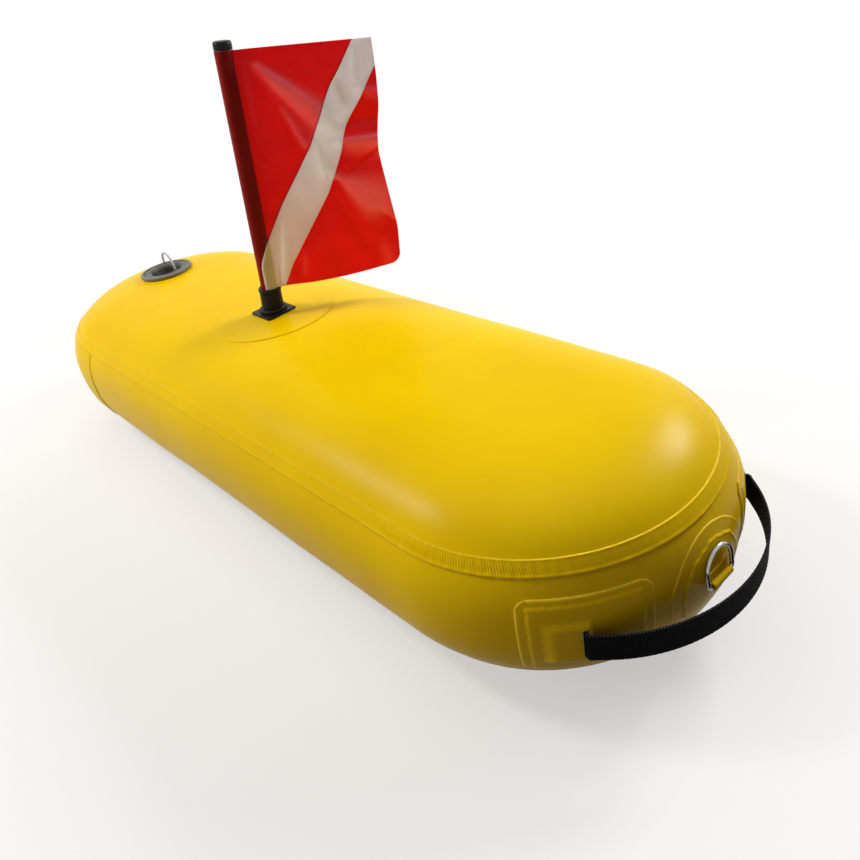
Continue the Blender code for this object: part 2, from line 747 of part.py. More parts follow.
def flag_sleeve(home):
    """The sewn tube that holds the flag on the mast."""
    high = FLAG_FOOT + FLAG_HOIST
    profile = [(SLEEVE_BORE, SLEEVE_FOOT), (SLEEVE_RADIUS - SLEEVE_TAPER, SLEEVE_FOOT),
               (SLEEVE_RADIUS, SLEEVE_FOOT + SLEEVE_TAPER), (SLEEVE_RADIUS, high), (SLEEVE_BORE, high)]
    return lathe("flag_sleeve", profile, TUBE_STEPS, "pvc_red", home, mast_frame())


# ---- Carry handle ----
STRAP_HALF = WEBBING_THICKNESS / 2
TAIL_LIFT = GAP + HANDLE_PAD_THICKNESS + GAP + STRAP_HALF       # strap's middle line on the pad
BUMP_LIFT = TAIL_LIFT + STRAP_HALF + GAP
PAD_LIFT = GAP + HANDLE_PAD_THICKNESS + GAP
WAIST_RADIUS = HALF_WIDTH


def bow_place(angle, lift):
    """A place in plan, round the nose and off the waist."""
    reach = WAIST_RADIUS + lift
    return Vector((CORE + reach * math.cos(angle), reach * math.sin(angle)))


def span_arc():
    """The free span's middle line in plan: its centre on the middle line, radius and half angle."""
    start = bow_place(SPAN_ANGLE, SPAN_OFFSET)
    tip = CORE + WAIST_RADIUS + HANDLE_STANDOFF
    sag = tip - start.x
    radius = (sag ** 2 + start.y ** 2) / (2 * sag)
    return tip - radius, radius, math.asin(start.y / radius)


def strap_sheet(name, line, home, frame=Matrix()):
    """Webbing on edge along a line in plan."""
    half = WEBBING_WIDTH / 2
    rows = girth_steps(-half, half, WIDTH_STEPS)
    points = [(place, row) for place in line for row in rows]

    def at(place, row):
        return frame.inverted() @ Vector((place.x, place.y, HANDLE_Z + row))

    return sheet(name, points, grid_faces(len(line) - 1, WIDTH_STEPS), at, WEBBING_THICKNESS, 0,
                 "webbing_black", home, frame)


def arc_place(angle):
    centre, radius, _ = span_arc()
    return Vector((centre + radius * math.cos(angle), radius * math.sin(angle)))


def handle_strap(home, cutters):
    """The free span: an arc in plan, its ends cut square to the swing axis."""
    _, radius, half_angle = span_arc()
    reach = half_angle + WEBBING_THICKNESS / radius
    line = [arc_place(angle) for angle in girth_steps(-reach, reach, SPAN_STEPS)]
    start = bow_place(SPAN_ANGLE, SPAN_OFFSET)
    made = strap_sheet("handle_strap", line, home, Matrix.Translation((start.x, 0, HANDLE_Z)))
    for side, tag in ((-1, "near"), (1, "far")):
        trim = trim_block("span_trim_" + tag, side * start.y, side * (start.y + CUT_RUN), home)
        combine(made, trim, "DIFFERENCE", cutters)
    return made


def trim_block(name, start, end, home):
    """Clears a slice of plan from the webbing, all through its thickness and width."""
    start_x = bow_place(SPAN_ANGLE, SPAN_OFFSET).x
    high = WEBBING_WIDTH / 2 + CUT_RUN
    return block(name, (-WEBBING_WIDTH, min(start, end), -high), (WEBBING_WIDTH, max(start, end), high),
                 None, home, Matrix.Translation((start_x, 0, HANDLE_Z)))


def bent(before, corner, after, reach, steps):
    """Points round a corner of a line in plan."""
    start = corner + (before - corner).normalized() * reach
    end = corner + (after - corner).normalized() * reach
    points = []
    for step in range(steps + 1):
        share = step / steps
        points.append((1 - share) ** 2 * start + 2 * share * (1 - share) * corner + share ** 2 * end)
    return points


def handle_root(side, tag, home, cutters):
    """One fixed end: a tail on the pad, out through the slot, up to where the span swings."""
    _, _, half_angle = span_arc()
    line = [bow_place(SLOT_ANGLE + step / WAIST_RADIUS, TAIL_LIFT)
            for step in girth_steps(TAIL_LENGTH, 2 * TAIL_BEND, WIDTH_STEPS + 1)]
    corner = bow_place(SLOT_ANGLE, TAIL_LIFT)
    out = Vector((math.cos(SLOT_ANGLE), math.sin(SLOT_ANGLE)))
    line += bent(line[-1], corner, corner + out, TAIL_BEND, FLAG_CORNER_STEPS)
    start = bow_place(SPAN_ANGLE, SPAN_OFFSET)
    heading = Vector((-math.sin(half_angle), math.cos(half_angle)))
    away = start - corner
    run = (away.x * heading.y - away.y * heading.x) / (out.x * heading.y - out.y * heading.x)
    knee = corner + out * run
    line += bent(corner, knee, start, EXIT_BEND, FLAG_CORNER_STEPS)
    line.append((knee + start) / 2)
    line.append(start)
    line.append(start - heading * WEBBING_THICKNESS)
    made = strap_sheet("handle_root_" + tag, [Vector((place.x, side * place.y)) for place in line], home)
    trim = trim_block("root_trim_" + tag, side * (start.y - CUT_RUN), side * (start.y + GAP), home)
    combine(made, trim, "DIFFERENCE", cutters)


def smooth(value):
    held = min(max(value, 0), 1)
    return held * held * (3 - 2 * held)


def box_share(x, low, high, ramp):
    """1 between low and high, falling to 0 over the ramp outside."""
    return min(smooth((x - low) / ramp + 1), smooth((high - x) / ramp + 1))


def handle_patches(side, tag, home, cutters):
    """The reinforcing pad and, over it and the webbing's tail, the slotted patch."""
    middle = side * HANDLE_PATCH_ANGLE * WAIST_RADIUS
    girth = girth_at_rise(-HANDLE_DROP)
    pad_x = HANDLE_PAD_WIDTH / 2
    pad_y = HANDLE_PAD_HEIGHT / 2
    pad_corner = HANDLE_PAD_CORNER
    columns = filled_lines([-pad_x, -pad_x + pad_corner / 3, pad_x - pad_corner / 3, pad_x])
    rows = filled_lines([-pad_y, -pad_y + pad_corner / 3, pad_y - pad_corner / 3, pad_y])
    skin_patch("handle_pad_" + tag, rounded_mesh(columns, rows, pad_corner), middle, girth,
               lambda x, y: GAP, HANDLE_PAD_THICKNESS, home)

    tail_slot = side * SLOT_ANGLE * WAIST_RADIUS - middle
    tail_end = tail_slot + side * (TAIL_LENGTH + BUMP_MARGIN)
    mouth = tail_slot - side * (SLOT_WIDTH / 2 + BUMP_MARGIN)
    bump_low = min(tail_end, mouth)
    bump_high = max(tail_end, mouth)
    bump_half = WEBBING_WIDTH / 2 + BUMP_MARGIN

    def lift(x, y):
        on_pad = box_share(x, -pad_x - GAP, pad_x + GAP, BUMP_RAMP)
        on_pad = min(on_pad, box_share(y, -pad_y - GAP, pad_y + GAP, BUMP_RAMP))
        on_tail = box_share(x, bump_low, bump_high, BUMP_RAMP)
        on_tail = min(on_tail, box_share(y, -bump_half, bump_half, BUMP_RAMP))
        low = GAP + (PAD_LIFT - GAP) * on_pad
        top = BUMP_LIFT + WAIST_RADIUS - look_up("reach", girth + y)
        return low + (top - low) * on_tail

    half_x = HANDLE_PATCH_WIDTH / 2
    half_y = HANDLE_PATCH_HEIGHT / 2
    corner = HANDLE_PATCH_CORNER
    ramp = BUMP_RAMP
    columns = [-half_x, -half_x + corner / 3, half_x - corner / 3, half_x, -pad_x - GAP - ramp, -pad_x - GAP,
               pad_x + GAP, pad_x + GAP + ramp, bump_low - ramp, bump_low - ramp / 2, bump_low,
               bump_high, bump_high + ramp / 2, bump_high + ramp]
    rows = [-half_y, -half_y + corner / 3, half_y - corner / 3, half_y, -pad_y - GAP - ramp, -pad_y - GAP,
            pad_y + GAP, pad_y + GAP + ramp, -bump_half - ramp, -bump_half - ramp / 2, -bump_half,
            bump_half, bump_half + ramp / 2, bump_half + ramp]
    patch = skin_patch("handle_patch_" + tag, rounded_mesh(filled_lines(columns), filled_lines(rows), corner),
                       middle, girth, lift, HANDLE_PATCH_THICKNESS, home)
    frame = (Matrix.Translation((CORE, 0, HANDLE_Z)) @ Matrix.Rotation(side * SLOT_ANGLE, 4, "Z")
             @ Matrix.Translation((WAIST_RADIUS, 0, 0)))
    half_slot = (PAD_LIFT + GAP, -SLOT_WIDTH / 2, -SLOT_LENGTH / 2)
    far_slot = (CUT_RUN, SLOT_WIDTH / 2, SLOT_LENGTH / 2)
    slot = block("slot_" + tag, half_slot, far_slot, None, home, frame)
    combine(patch, slot, "DIFFERENCE", cutters)


# ---- Tow ring ----
RING_WIRE_RADIUS = RING_WIRE / 2
RING_PAD_TOP = GAP + RING_PAD_THICKNESS + GAP
RING_PATCH_TOP = RING_PAD_TOP + RING_PATCH_THICKNESS
TAB_INNER = RING_WIRE_RADIUS + GAP
TAB_OUTER = TAB_INNER + TAB_THICKNESS
RING_X = CORE + WAIST_RADIUS + RING_PATCH_TOP + GAP + TAB_OUTER


def ring_patches(home):
    """The small pad and the larger round patch over it, on the nose."""
    girth = girth_at_rise(-RING_PATCH_DROP)
    pad = disc_mesh(girth_steps(0, RING_PAD_RADIUS, RING_RINGS - 1), ROUND_STEPS)
    skin_patch("ring_pad", pad, 0, girth, lambda x, y: GAP, RING_PAD_THICKNESS, home)
    edge = RING_PAD_RADIUS + GAP
    outer = RING_PATCH_RADIUS
    radii = girth_steps(0, edge, RING_RINGS - 2)
    radii += girth_steps(edge + BUMP_RAMP, outer, RING_RINGS - 2)

    def lift(x, y):
        return GAP + (RING_PAD_TOP - GAP) * smooth((edge - math.hypot(x, y)) / BUMP_RAMP + 1)

    skin_patch("ring_patch", disc_mesh(radii, ROUND_STEPS), 0, girth, lift, RING_PATCH_THICKNESS, home)


def ring_frame():
    """Local Y along the ring's bar, local Z up the ring."""
    return Matrix.Translation((RING_X, 0, RING_Z)) @ Matrix.Rotation(-RING_LEAN, 4, "Y")


def tow_ring(home):
    """A bent-wire D: a straight bar, two short legs and a half-round crown."""
    half = RING_HALF_WIDTH
    leg = RING_HEIGHT - half
    bend = RING_WIRE
    line = [Vector((0, y, 0)) for y in girth_steps(-half + bend, half - bend, 2)]
    for step in range(1, 4):
        angle = HALF_TURN / 2 * step / 3
        line.append(Vector((0, half - bend + bend * math.sin(angle), bend - bend * math.cos(angle))))
    for step in range(TAB_STEPS + 1):
        angle = HALF_TURN * step / TAB_STEPS
        line.append(Vector((0, half * math.cos(angle), leg + half * math.sin(angle))))
    for step in range(3):
        angle = HALF_TURN / 2 * (1 - step / 3)
        line.append(Vector((0, -half + bend - bend * math.sin(angle), bend - bend * math.cos(angle))))
    return wire("tow_ring", line, RING_WIRE_RADIUS, 4, True, "stainless_steel", home, ring_frame())


def ring_tab(home):
    """The folded strip that holds the ring: a tail up the patch and a roll round the bar."""
    middle = TAB_INNER + TAB_THICKNESS / 2
    closing = HALF_TURN - math.acos((TAB_INNER - GAP) / TAB_OUTER)
    line = [(-middle, TAB_TAIL), (-middle, TAB_TAIL / 2), (-middle, 0)]
    for step in range(1, TAB_STEPS + 1):
        angle = HALF_TURN + (HALF_TURN + closing) * step / TAB_STEPS
        line.append((middle * math.cos(angle), middle * math.sin(angle)))
    half = TAB_WIDTH / 2
    points = [(place, y) for place in line for y in (-half, half)]

    def at(place, y):
        return Vector((place[0], y, place[1]))

    return sheet("ring_tab", points, grid_faces(len(line) - 1, 1), at, TAB_THICKNESS, 0, "pvc_yellow", home,
                 Matrix.Translation((RING_X, 0, RING_Z)))


# ---- Air valve ----
VALVE_Z = crown_height(VALVE_X, 0, GAP) + VALVE_PATCH_THICKNESS + GAP      # the flange's underside
WEB_TOP = VALVE_WEB_THICKNESS
SEAL_LOW = WEB_TOP + GAP
SEAL_HIGH = SEAL_LOW + SEAL_THICKNESS
CAP_LOW = SEAL_HIGH + GAP
CAP_TOP = CAP_LOW + CAP_FLANGE_THICKNESS
CAP_RADIUS = VALVE_RADIUS - VALVE_LIP_WIDTH - GAP
PLUG_RADIUS = CAP_POCKET_RADIUS + CAP_WALL
POCKET_FLOOR = CAP_TOP - CAP_POCKET_DEPTH
CAP_BOTTOM = POCKET_FLOOR - CAP_WALL
NECK_BORE = NECK_RADIUS - NECK_WALL
SEAT_TOP = -SEAT_DEPTH


def valve_frame():
    """Local Z up the valve from the middle of its flange's underside."""
    return Matrix.Translation((VALVE_X, 0, VALVE_Z)) @ Matrix.Rotation(-VALVE_TILT, 4, "Y")


def valve_patch(home):
    """The ring of fabric welded round the neck, under the flange."""
    radii = girth_steps(NECK_RADIUS + GAP, VALVE_RADIUS + VALVE_PATCH_MARGIN, VALVE_PATCH_RINGS)
    crown_patch("valve_patch", disc_mesh(radii, VALVE_STEPS), VALVE_X, GAP, VALVE_PATCH_THICKNESS, home)


def valve_flange(home, cutters):
    """Flange, lip, neck and the spoked seat inside it, moulded as one, with the leash's lug."""
    frame = valve_frame()
    lip = VALVE_RADIUS - VALVE_LIP_WIDTH
    ease = VALVE_WEB_THICKNESS
    seat_low = SEAT_TOP - SEAT_THICKNESS
    profile = [(NECK_RADIUS, 0), (VALVE_RADIUS, 0), (VALVE_RADIUS, VALVE_LIP_HEIGHT - ease),
               (VALVE_RADIUS - ease, VALVE_LIP_HEIGHT), (lip + ease, VALVE_LIP_HEIGHT),
               (lip, VALVE_LIP_HEIGHT - ease), (lip, WEB_TOP), (NECK_BORE, WEB_TOP),
               (NECK_BORE, SEAT_TOP), (SEAT_HOLE_RADIUS, SEAT_TOP), (SEAT_HOLE_RADIUS, seat_low),
               (NECK_BORE, seat_low), (NECK_BORE, -NECK_DEPTH), (NECK_RADIUS, -NECK_DEPTH)]
    made = lathe("valve_flange", profile, VALVE_STEPS, "valve_grey", home, frame)
    ease_in = SPOKE_WIDTH / 4
    hub = lathe("seat_hub", [(STEM_RADIUS + RUNNING_GAP, seat_low + ease_in), (HUB_RADIUS, seat_low + ease_in),
                             (HUB_RADIUS, SEAT_TOP - ease_in), (STEM_RADIUS + RUNNING_GAP, SEAT_TOP - ease_in)],
                TUBE_STEPS, None, home, frame)
    for turn in (0, 1, 2):
        spin = Matrix.Rotation(FULL_TURN * turn / 3, 4, "Z")
        spoke = block("seat_spoke_" + str(turn),
                      (HUB_RADIUS - SPOKE_WIDTH / 3, -SPOKE_WIDTH / 2, seat_low + 2 * ease_in),
                      (SEAT_HOLE_RADIUS + SPOKE_WIDTH / 2, SPOKE_WIDTH / 2, SEAT_TOP - 2 * ease_in),
                      None, home, frame @ spin)
        combine(hub, spoke, "UNION", cutters)
    combine(made, hub, "UNION", cutters)
    heading = Matrix.Rotation(LUG_HEADING, 4, "Z")
    lug = block("leash_lug", (lip + ease, -LUG_WIDTH / 2, ease),
                (VALVE_RADIUS + LUG_REACH, LUG_WIDTH / 2, ease + LUG_THICKNESS), None, home, frame @ heading)
    combine(made, lug, "UNION", cutters)
    eye = lathe("lug_eye", [(0, -CUT_RUN), (lug_eye_radius(), -CUT_RUN), (lug_eye_radius(), CUT_RUN),
                            (0, CUT_RUN)], TUBE_STEPS, None, home,
                tilted_at(lug_eye_place()))
    combine(made, eye, "DIFFERENCE", cutters)
    return made


def lug_eye_radius():
    return LEASH_WIRE / 2 + RUNNING_GAP


def lug_eye_place():
    reach = VALVE_RADIUS + LUG_REACH / 2
    return valve_frame() @ Vector((reach * math.cos(LUG_HEADING), reach * math.sin(LUG_HEADING), 0))


def post_place():
    return valve_frame() @ Vector((POST_OFFSET * math.cos(POST_HEADING),
                                   POST_OFFSET * math.sin(POST_HEADING), POCKET_FLOOR))


def tilted_at(place):
    return Matrix.Translation(place) @ Matrix.Rotation(-VALVE_TILT, 4, "Y")


def valve_cap(home, cutters):
    """The dished plug cap, with the post that its leash is tied to."""
    ease = CAP_ROUND / 2
    profile = [(0, CAP_BOTTOM), (PLUG_RADIUS, CAP_BOTTOM), (PLUG_RADIUS, CAP_LOW), (CAP_RADIUS, CAP_LOW),
               (CAP_RADIUS, CAP_TOP), (CAP_POCKET_RADIUS + ease, CAP_TOP),
               (CAP_POCKET_RADIUS, CAP_TOP - ease), (CAP_POCKET_RADIUS - ease, POCKET_FLOOR + ease),
               (CAP_POCKET_RADIUS - CAP_ROUND, POCKET_FLOOR), (0, POCKET_FLOOR)]
    made = lathe("valve_cap", profile, VALVE_STEPS, "valve_grey", home, valve_frame())
    sunk = -CAP_WALL / 2
    post = lathe("leash_post", [(0, sunk), (POST_RADIUS, sunk), (POST_RADIUS, POST_HEIGHT - ease),
                                (POST_RADIUS - ease, POST_HEIGHT), (0, POST_HEIGHT)],
                 TUBE_STEPS // 2, None, home, tilted_at(post_place()))
    combine(made, post, "UNION", cutters)
    return made


def valve_seal(home):
    """The flat ring that the cap is pressed down on."""
    outer = CAP_RADIUS
    return lathe("valve_seal", ring_profile(outer - SEAL_WIDTH, outer, SEAL_LOW, SEAL_HIGH), VALVE_STEPS,
                 "seal_rubber", home, valve_frame())


def valve_poppet(home):
    """The sprung poppet: a disc under the seat on a stem with a push button."""
    seat_low = SEAT_TOP - SEAT_THICKNESS
    disc_top = seat_low - GAP
    disc_low = disc_top - POPPET_DISC_THICKNESS
    button_low = SEAT_TOP + POPPET_RISE
    button_top = button_low + POPPET_BUTTON_THICKNESS
    profile = [(0, disc_low), (POPPET_DISC_RADIUS, disc_low), (POPPET_DISC_RADIUS, disc_top),
               (STEM_RADIUS, disc_top), (STEM_RADIUS, button_low), (POPPET_BUTTON_RADIUS, button_low),
               (POPPET_BUTTON_RADIUS, button_top), (0, button_top)]
    return lathe("valve_poppet", profile, TUBE_STEPS, "valve_grey", home, valve_frame())


def valve_spring(home):
    """The coil that lifts the poppet shut."""
    low = SEAT_TOP + SPRING_WIRE / 2 + GAP
    high = SEAT_TOP + POPPET_RISE - SPRING_WIRE / 2 - GAP
    points = []
    total = SPRING_CURL_COUNT * CURL_POINTS
    for step in range(total + 1):
        angle = FULL_TURN * step / CURL_POINTS
        points.append(Vector((SPRING_RADIUS * math.cos(angle), SPRING_RADIUS * math.sin(angle),
                              low + (high - low) * step / total)))
    print("spring: least gap between curls", round((high - low) / SPRING_CURL_COUNT - SPRING_WIRE, 6))
    return wire("valve_spring", points, SPRING_WIRE / 2, 1, False, "stainless_steel", home, valve_frame())


def valve_leash(home):
    """The white cord from the cap's post, up over the lip and down through the flange's lug."""
    up = (valve_frame().to_3x3() @ Vector((0, 0, 1))).normalized()
    start = post_place() + up * (POST_HEIGHT + GAP)
    eye = lug_eye_place()
    landing = eye + up * (VALVE_WEB_THICKNESS + LUG_THICKNESS + LEASH_WIRE / 2)
    pulls = (start, start + up * LEASH_RISE, landing + up * LEASH_RISE, landing)
    line = []
    for step in range(LEASH_STEPS + 1):
        share = step / LEASH_STEPS
        back = 1 - share
        line.append(back ** 3 * pulls[0] + 3 * back ** 2 * share * pulls[1]
                    + 3 * back * share ** 2 * pulls[2] + share ** 3 * pulls[3])
    line.append(eye + up * VALVE_WEB_THICKNESS / 2)
    return wire("valve_leash", line, LEASH_WIRE / 2, 2, False, "cord_white", home)


def cut_valve_hole(panel, home, cutters):
    """The hole in the top panel that the valve's neck passes through."""
    radius = NECK_RADIUS + GAP
    hole = lathe("valve_hole", [(0, -CUT_RUN), (radius, -CUT_RUN), (radius, CUT_RUN), (0, CUT_RUN)],
                 VALVE_STEPS, None, home, valve_frame())
    combine(panel, hole, "DIFFERENCE", cutters)


def main():
    clear_scene()
    home = collection("dive_flag_float")
    cutters = collection("cutters")
    cut_valve_hole(hull_panels(home), home, cutters)
    seam_tape("seam_tape_upper", UPPER_SEAM, home)
    seam_tape("seam_tape_lower", LOWER_SEAM, home)
    joint_tape(home)
    mast_patch(home)
    mast_socket(home, cutters)
    socket_collar(home)
    mast_pole(home)
    mast_ferrule(home)
    tip_cap(home)
    flag_sleeve(home)
    flag_cloth(home)
    handle_strap(home, cutters)
    for side, tag in ((-1, "near"), (1, "far")):
        handle_root(side, tag, home, cutters)
        handle_patches(side, tag, home, cutters)
    ring_patches(home)
    tow_ring(home)
    ring_tab(home)
    valve_patch(home)
    valve_flange(home, cutters)
    valve_cap(home, cutters)
    valve_seal(home)
    valve_poppet(home)
    valve_spring(home)
    valve_leash(home)


main()
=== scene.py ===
"""Dive flag float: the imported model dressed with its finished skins, cloth, webbing, valve and light.

Metres, in the model's own frame: +Z up, +X to the bow, +Y to port.
"""
import json
import math

import bmesh
import bpy
import numpy as np
from mathutils import Matrix, Vector, kdtree

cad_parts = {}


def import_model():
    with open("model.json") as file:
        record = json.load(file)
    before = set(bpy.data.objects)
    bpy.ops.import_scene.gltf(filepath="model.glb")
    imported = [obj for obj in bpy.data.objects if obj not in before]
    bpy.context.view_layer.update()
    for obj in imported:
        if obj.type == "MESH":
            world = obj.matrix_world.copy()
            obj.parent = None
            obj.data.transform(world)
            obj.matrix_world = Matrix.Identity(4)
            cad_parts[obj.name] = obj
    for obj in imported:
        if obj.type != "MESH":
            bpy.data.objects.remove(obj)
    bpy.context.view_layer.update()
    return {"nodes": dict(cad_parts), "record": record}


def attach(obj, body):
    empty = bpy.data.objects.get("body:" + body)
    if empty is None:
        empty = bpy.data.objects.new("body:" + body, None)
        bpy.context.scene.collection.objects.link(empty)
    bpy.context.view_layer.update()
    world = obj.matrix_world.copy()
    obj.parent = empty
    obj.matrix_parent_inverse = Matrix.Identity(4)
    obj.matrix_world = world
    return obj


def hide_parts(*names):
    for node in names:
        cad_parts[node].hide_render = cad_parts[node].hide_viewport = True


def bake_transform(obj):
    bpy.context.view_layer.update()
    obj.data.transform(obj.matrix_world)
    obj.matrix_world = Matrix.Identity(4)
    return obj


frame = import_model()

TURN = 2 * math.pi
GAP = 0.0003

# ---- The hull's measures, as in the model ----
HULL_LENGTH = 0.966
HULL_WIDTH = 0.330
HULL_HEIGHT = 0.175
HULL_FLAT = 0.0008
HULL_WALL = 0.0010
CROWN_EXPONENT = 2.30
FLANK_EXPONENT = 3.51
CORE = (HULL_LENGTH - HULL_WIDTH) / 2
HALF_WIDTH = HULL_WIDTH / 2
HALF_HEIGHT = HULL_HEIGHT / 2
MIDDLE_Z = HALF_HEIGHT - HULL_FLAT
QUARTER = math.pi * HALF_WIDTH / 2
HALF_ROUND = 2 * QUARTER + 2 * CORE
CROWN_Z = MIDDLE_Z + HALF_HEIGHT
UPPER_SEAM_RISE = 0.0517
LOWER_SEAM_DROP = 0.0600
TAPE_WIDTH = 0.0130
TAPE_THICKNESS = 0.0006
JOINT_MIDDLE = -(HALF_ROUND - QUARTER - 0.008)
JOINT_HALF = 0.015
PATCH_THICKNESS = 0.0008
ROUNDED = 0.0003


# ---- Nodes and materials ----
class Nodes:
    """Short ways to add nodes to a tree, and to set or link their sockets."""

    def __init__(self, owner):
        owner.use_nodes = True
        self.tree = owner.node_tree

    def set(self, node, socket, value):
        if hasattr(value, "is_linked"):
            self.tree.links.new(value, node.inputs[socket])
        else:
            node.inputs[socket].default_value = value

    def add(self, kind, settings=None, **sockets):
        node = self.tree.nodes.new("ShaderNode" + kind)
        for key, value in (settings or {}).items():
            setattr(node, key, value)
        for socket, value in sockets.items():
            self.set(node, socket.replace("_", " "), value)
        return node

    def maths(self, operation, first, second=0.5):
        node = self.add("Math", {"operation": operation})
        self.set(node, 0, first)
        self.set(node, 1, second)
        return node.outputs[0]

    def blend(self, share, first, second):
        """A node that blends the looks of two others."""
        node = self.add("MixShader", None, Fac=share)
        self.set(node, 1, first.outputs[0])
        self.set(node, 2, second.outputs[0])
        return node

    def white_behind(self, output, other, white):
        """Shows the white one to the camera, also in mirrors and through glass, and the other to all else."""
        path = self.add("LightPath").outputs
        seen = self.maths("MAXIMUM", path["Is Camera Ray"],
                          self.maths("MAXIMUM", path["Is Glossy Ray"], path["Is Transmission Ray"]))
        self.set(self.tree.nodes[output], "Surface", self.blend(seen, other, white).outputs[0])


class Shader(Nodes):
    """A Principled material."""

    def __init__(self, name, colour, roughness, **sockets):
        self.material = bpy.data.materials.new(name)
        super().__init__(self.material)
        self.principled = self.tree.nodes["Principled BSDF"]
        self.where = self.add("TexCoord").outputs["Object"]
        self.roughness = roughness
        self.normal = None
        self.main(Base_Color=(*colour, 1), Roughness=roughness, **sockets)

    def main(self, **sockets):
        """Sets or links sockets of the Principled node."""
        for socket, value in sockets.items():
            self.set(self.principled, socket.replace("_", " "), value)

    def marked(self, name):
        return self.add("Attribute", {"attribute_name": name}).outputs["Fac"]

    def chart(self, turn=0.0):
        flat = self.add("UVMap").outputs["UV"]
        return self.add("Mapping", Vector=flat, Rotation=(0, 0, turn)).outputs["Vector"]

    def noise(self, scale, detail=3.0, grit=0.55):
        return self.add("TexNoise", Vector=self.where, Scale=scale, Detail=detail, Roughness=grit).outputs["Fac"]

    def wave(self, pitch, direction="X", turn=0.0, distortion=0.0):
        """Bands on the flat chart, a pitch apart."""
        settings = {"wave_type": "BANDS", "bands_direction": direction}
        return self.add("TexWave", settings, Vector=self.chart(turn), Scale=TURN / 20 / pitch,
                        Distortion=distortion).outputs["Fac"]

    def weave(self, pitch):
        return self.maths("ADD", self.wave(pitch), self.wave(pitch, "Y"))

    def fit(self, value, low, high, start=0.0, end=1.0):
        """Maps start to low and end to high."""
        return self.add("MapRange", None, Value=value, From_Min=start, From_Max=end, To_Min=low,
                        To_Max=high).outputs["Result"]

    def cloud(self, scale, detail, start, end):
        return self.fit(self.noise(scale, detail), 0, 1, start, end)

    def mix(self, share, first, second):
        node = self.add("Mix", {"data_type": "RGBA"}, Factor=share)
        for socket, value in ((6, first), (7, second)):
            self.set(node, socket, (*value, 1) if isinstance(value, tuple) else value)
        return node.outputs[2]

    def scuffed(self, scale, detail, less, more, grit=0.55):
        """Lets the roughness wander from less under its plain value to more over it."""
        self.main(Roughness=self.fit(self.noise(scale, detail, grit), self.roughness - less, self.roughness + more,
                                     0.3, 0.7))

    def bump(self, height, strength, depth):
        node = self.add("Bump", None, Height=height, Strength=strength, Distance=depth)
        if self.normal:
            self.set(node, "Normal", self.normal)
        self.normal = node.outputs["Normal"]
        self.main(Normal=self.normal)


def coated_fabric(name, roughness, rim=None):
    """Yellow PVC-coated fabric: cloudy colour, a faint scrim under the coat, scuffs that dull the gloss.

    Rim is a paler colour painted as a highlight along a weld's edges, broken up by noise."""
    colour, deep = (0.93, 0.625, 0.0), (0.89, 0.575, 0.0)
    look = Shader(name, colour, roughness, Specular_IOR_Level=0.02, Coat_Weight=0.06, Coat_IOR=2.0,
                  Coat_Roughness=roughness)
    base = look.mix(look.cloud(7.0, 4.0, 0.35, 0.68), tuple(part * 1.02 for part in colour), deep)
    tone = look.mix(look.fit(look.noise(420.0, 2.0), 0, 0.35, 0.60, 0.80), base, deep)
    # Painted highlight: the rim colour lightens the coat along the marked edges of welded sheets.
    if rim:
        share = look.fit(look.noise(160.0, 2.0), 0.2, 1.0, 0.35, 0.6)
        tone = look.mix(look.maths("MULTIPLY", look.marked("rim"), share), tone, rim)
    look.main(Base_Color=tone)
    look.scuffed(38.0, 6.0, 0.05, 0.09, 0.7)
    look.bump(look.weave(0.0011), 0.10, 0.0002)
    look.bump(look.noise(90.0, 4.0), 0.12, 0.0006)
    return look.material


def vinyl(name, colour, deep, roughness, reach=None, pale=None, foot=None):
    """Glossy flag vinyl with fine creases and an embossed weave; reach is how far light travels in a thin sheet.

    Pale is a painted highlight over the folds' crests and deep also paints shade in their hollows, and foot is a
    darker, beiger colour that it takes towards the mast's foot."""
    look = Shader(name, colour, roughness, Specular_IOR_Level=0.10)
    if reach:
        look.main(Subsurface_Weight=1.0, Subsurface_Radius=reach, Subsurface_Scale=1.0)
    tone = look.mix(look.cloud(16.0, 3.0, 0.3, 0.7), colour, deep)
    # Darker and beiger by height, towards the mast's foot.
    if foot:
        height = look.add("SeparateXYZ", None, Vector=look.where).outputs["Z"]
        tone = look.mix(look.fit(height, 0, 1, 0.20, 0.36), foot, tone)
    # Painted light: the mark lightens the vinyl towards pale on fold crests as a painted highlight, and darkens it
    # towards deep in fold hollows and beside the sleeve as painted shade.
    if pale:
        folds = look.marked("painted_fold_light")
        tone = look.mix(look.fit(folds, 0, 1, 0.0, 0.25), deep, tone)
        tone = look.mix(look.fit(folds, 0, 1, 0.25, 1.0), tone, pale)
    look.main(Base_Color=tone)
    look.scuffed(60.0, 5.0, 0.05, 0.10)
    look.bump(look.weave(0.0009), 0.05, 0.0002)
    look.bump(look.noise(120.0, 3.0, 0.5), 0.10, 0.0003)
    return look.material


# Where the webbing's two edges lie on its chart, round from the near face's lower edge.
EDGE_CHART = (0.0247, 0.0505)


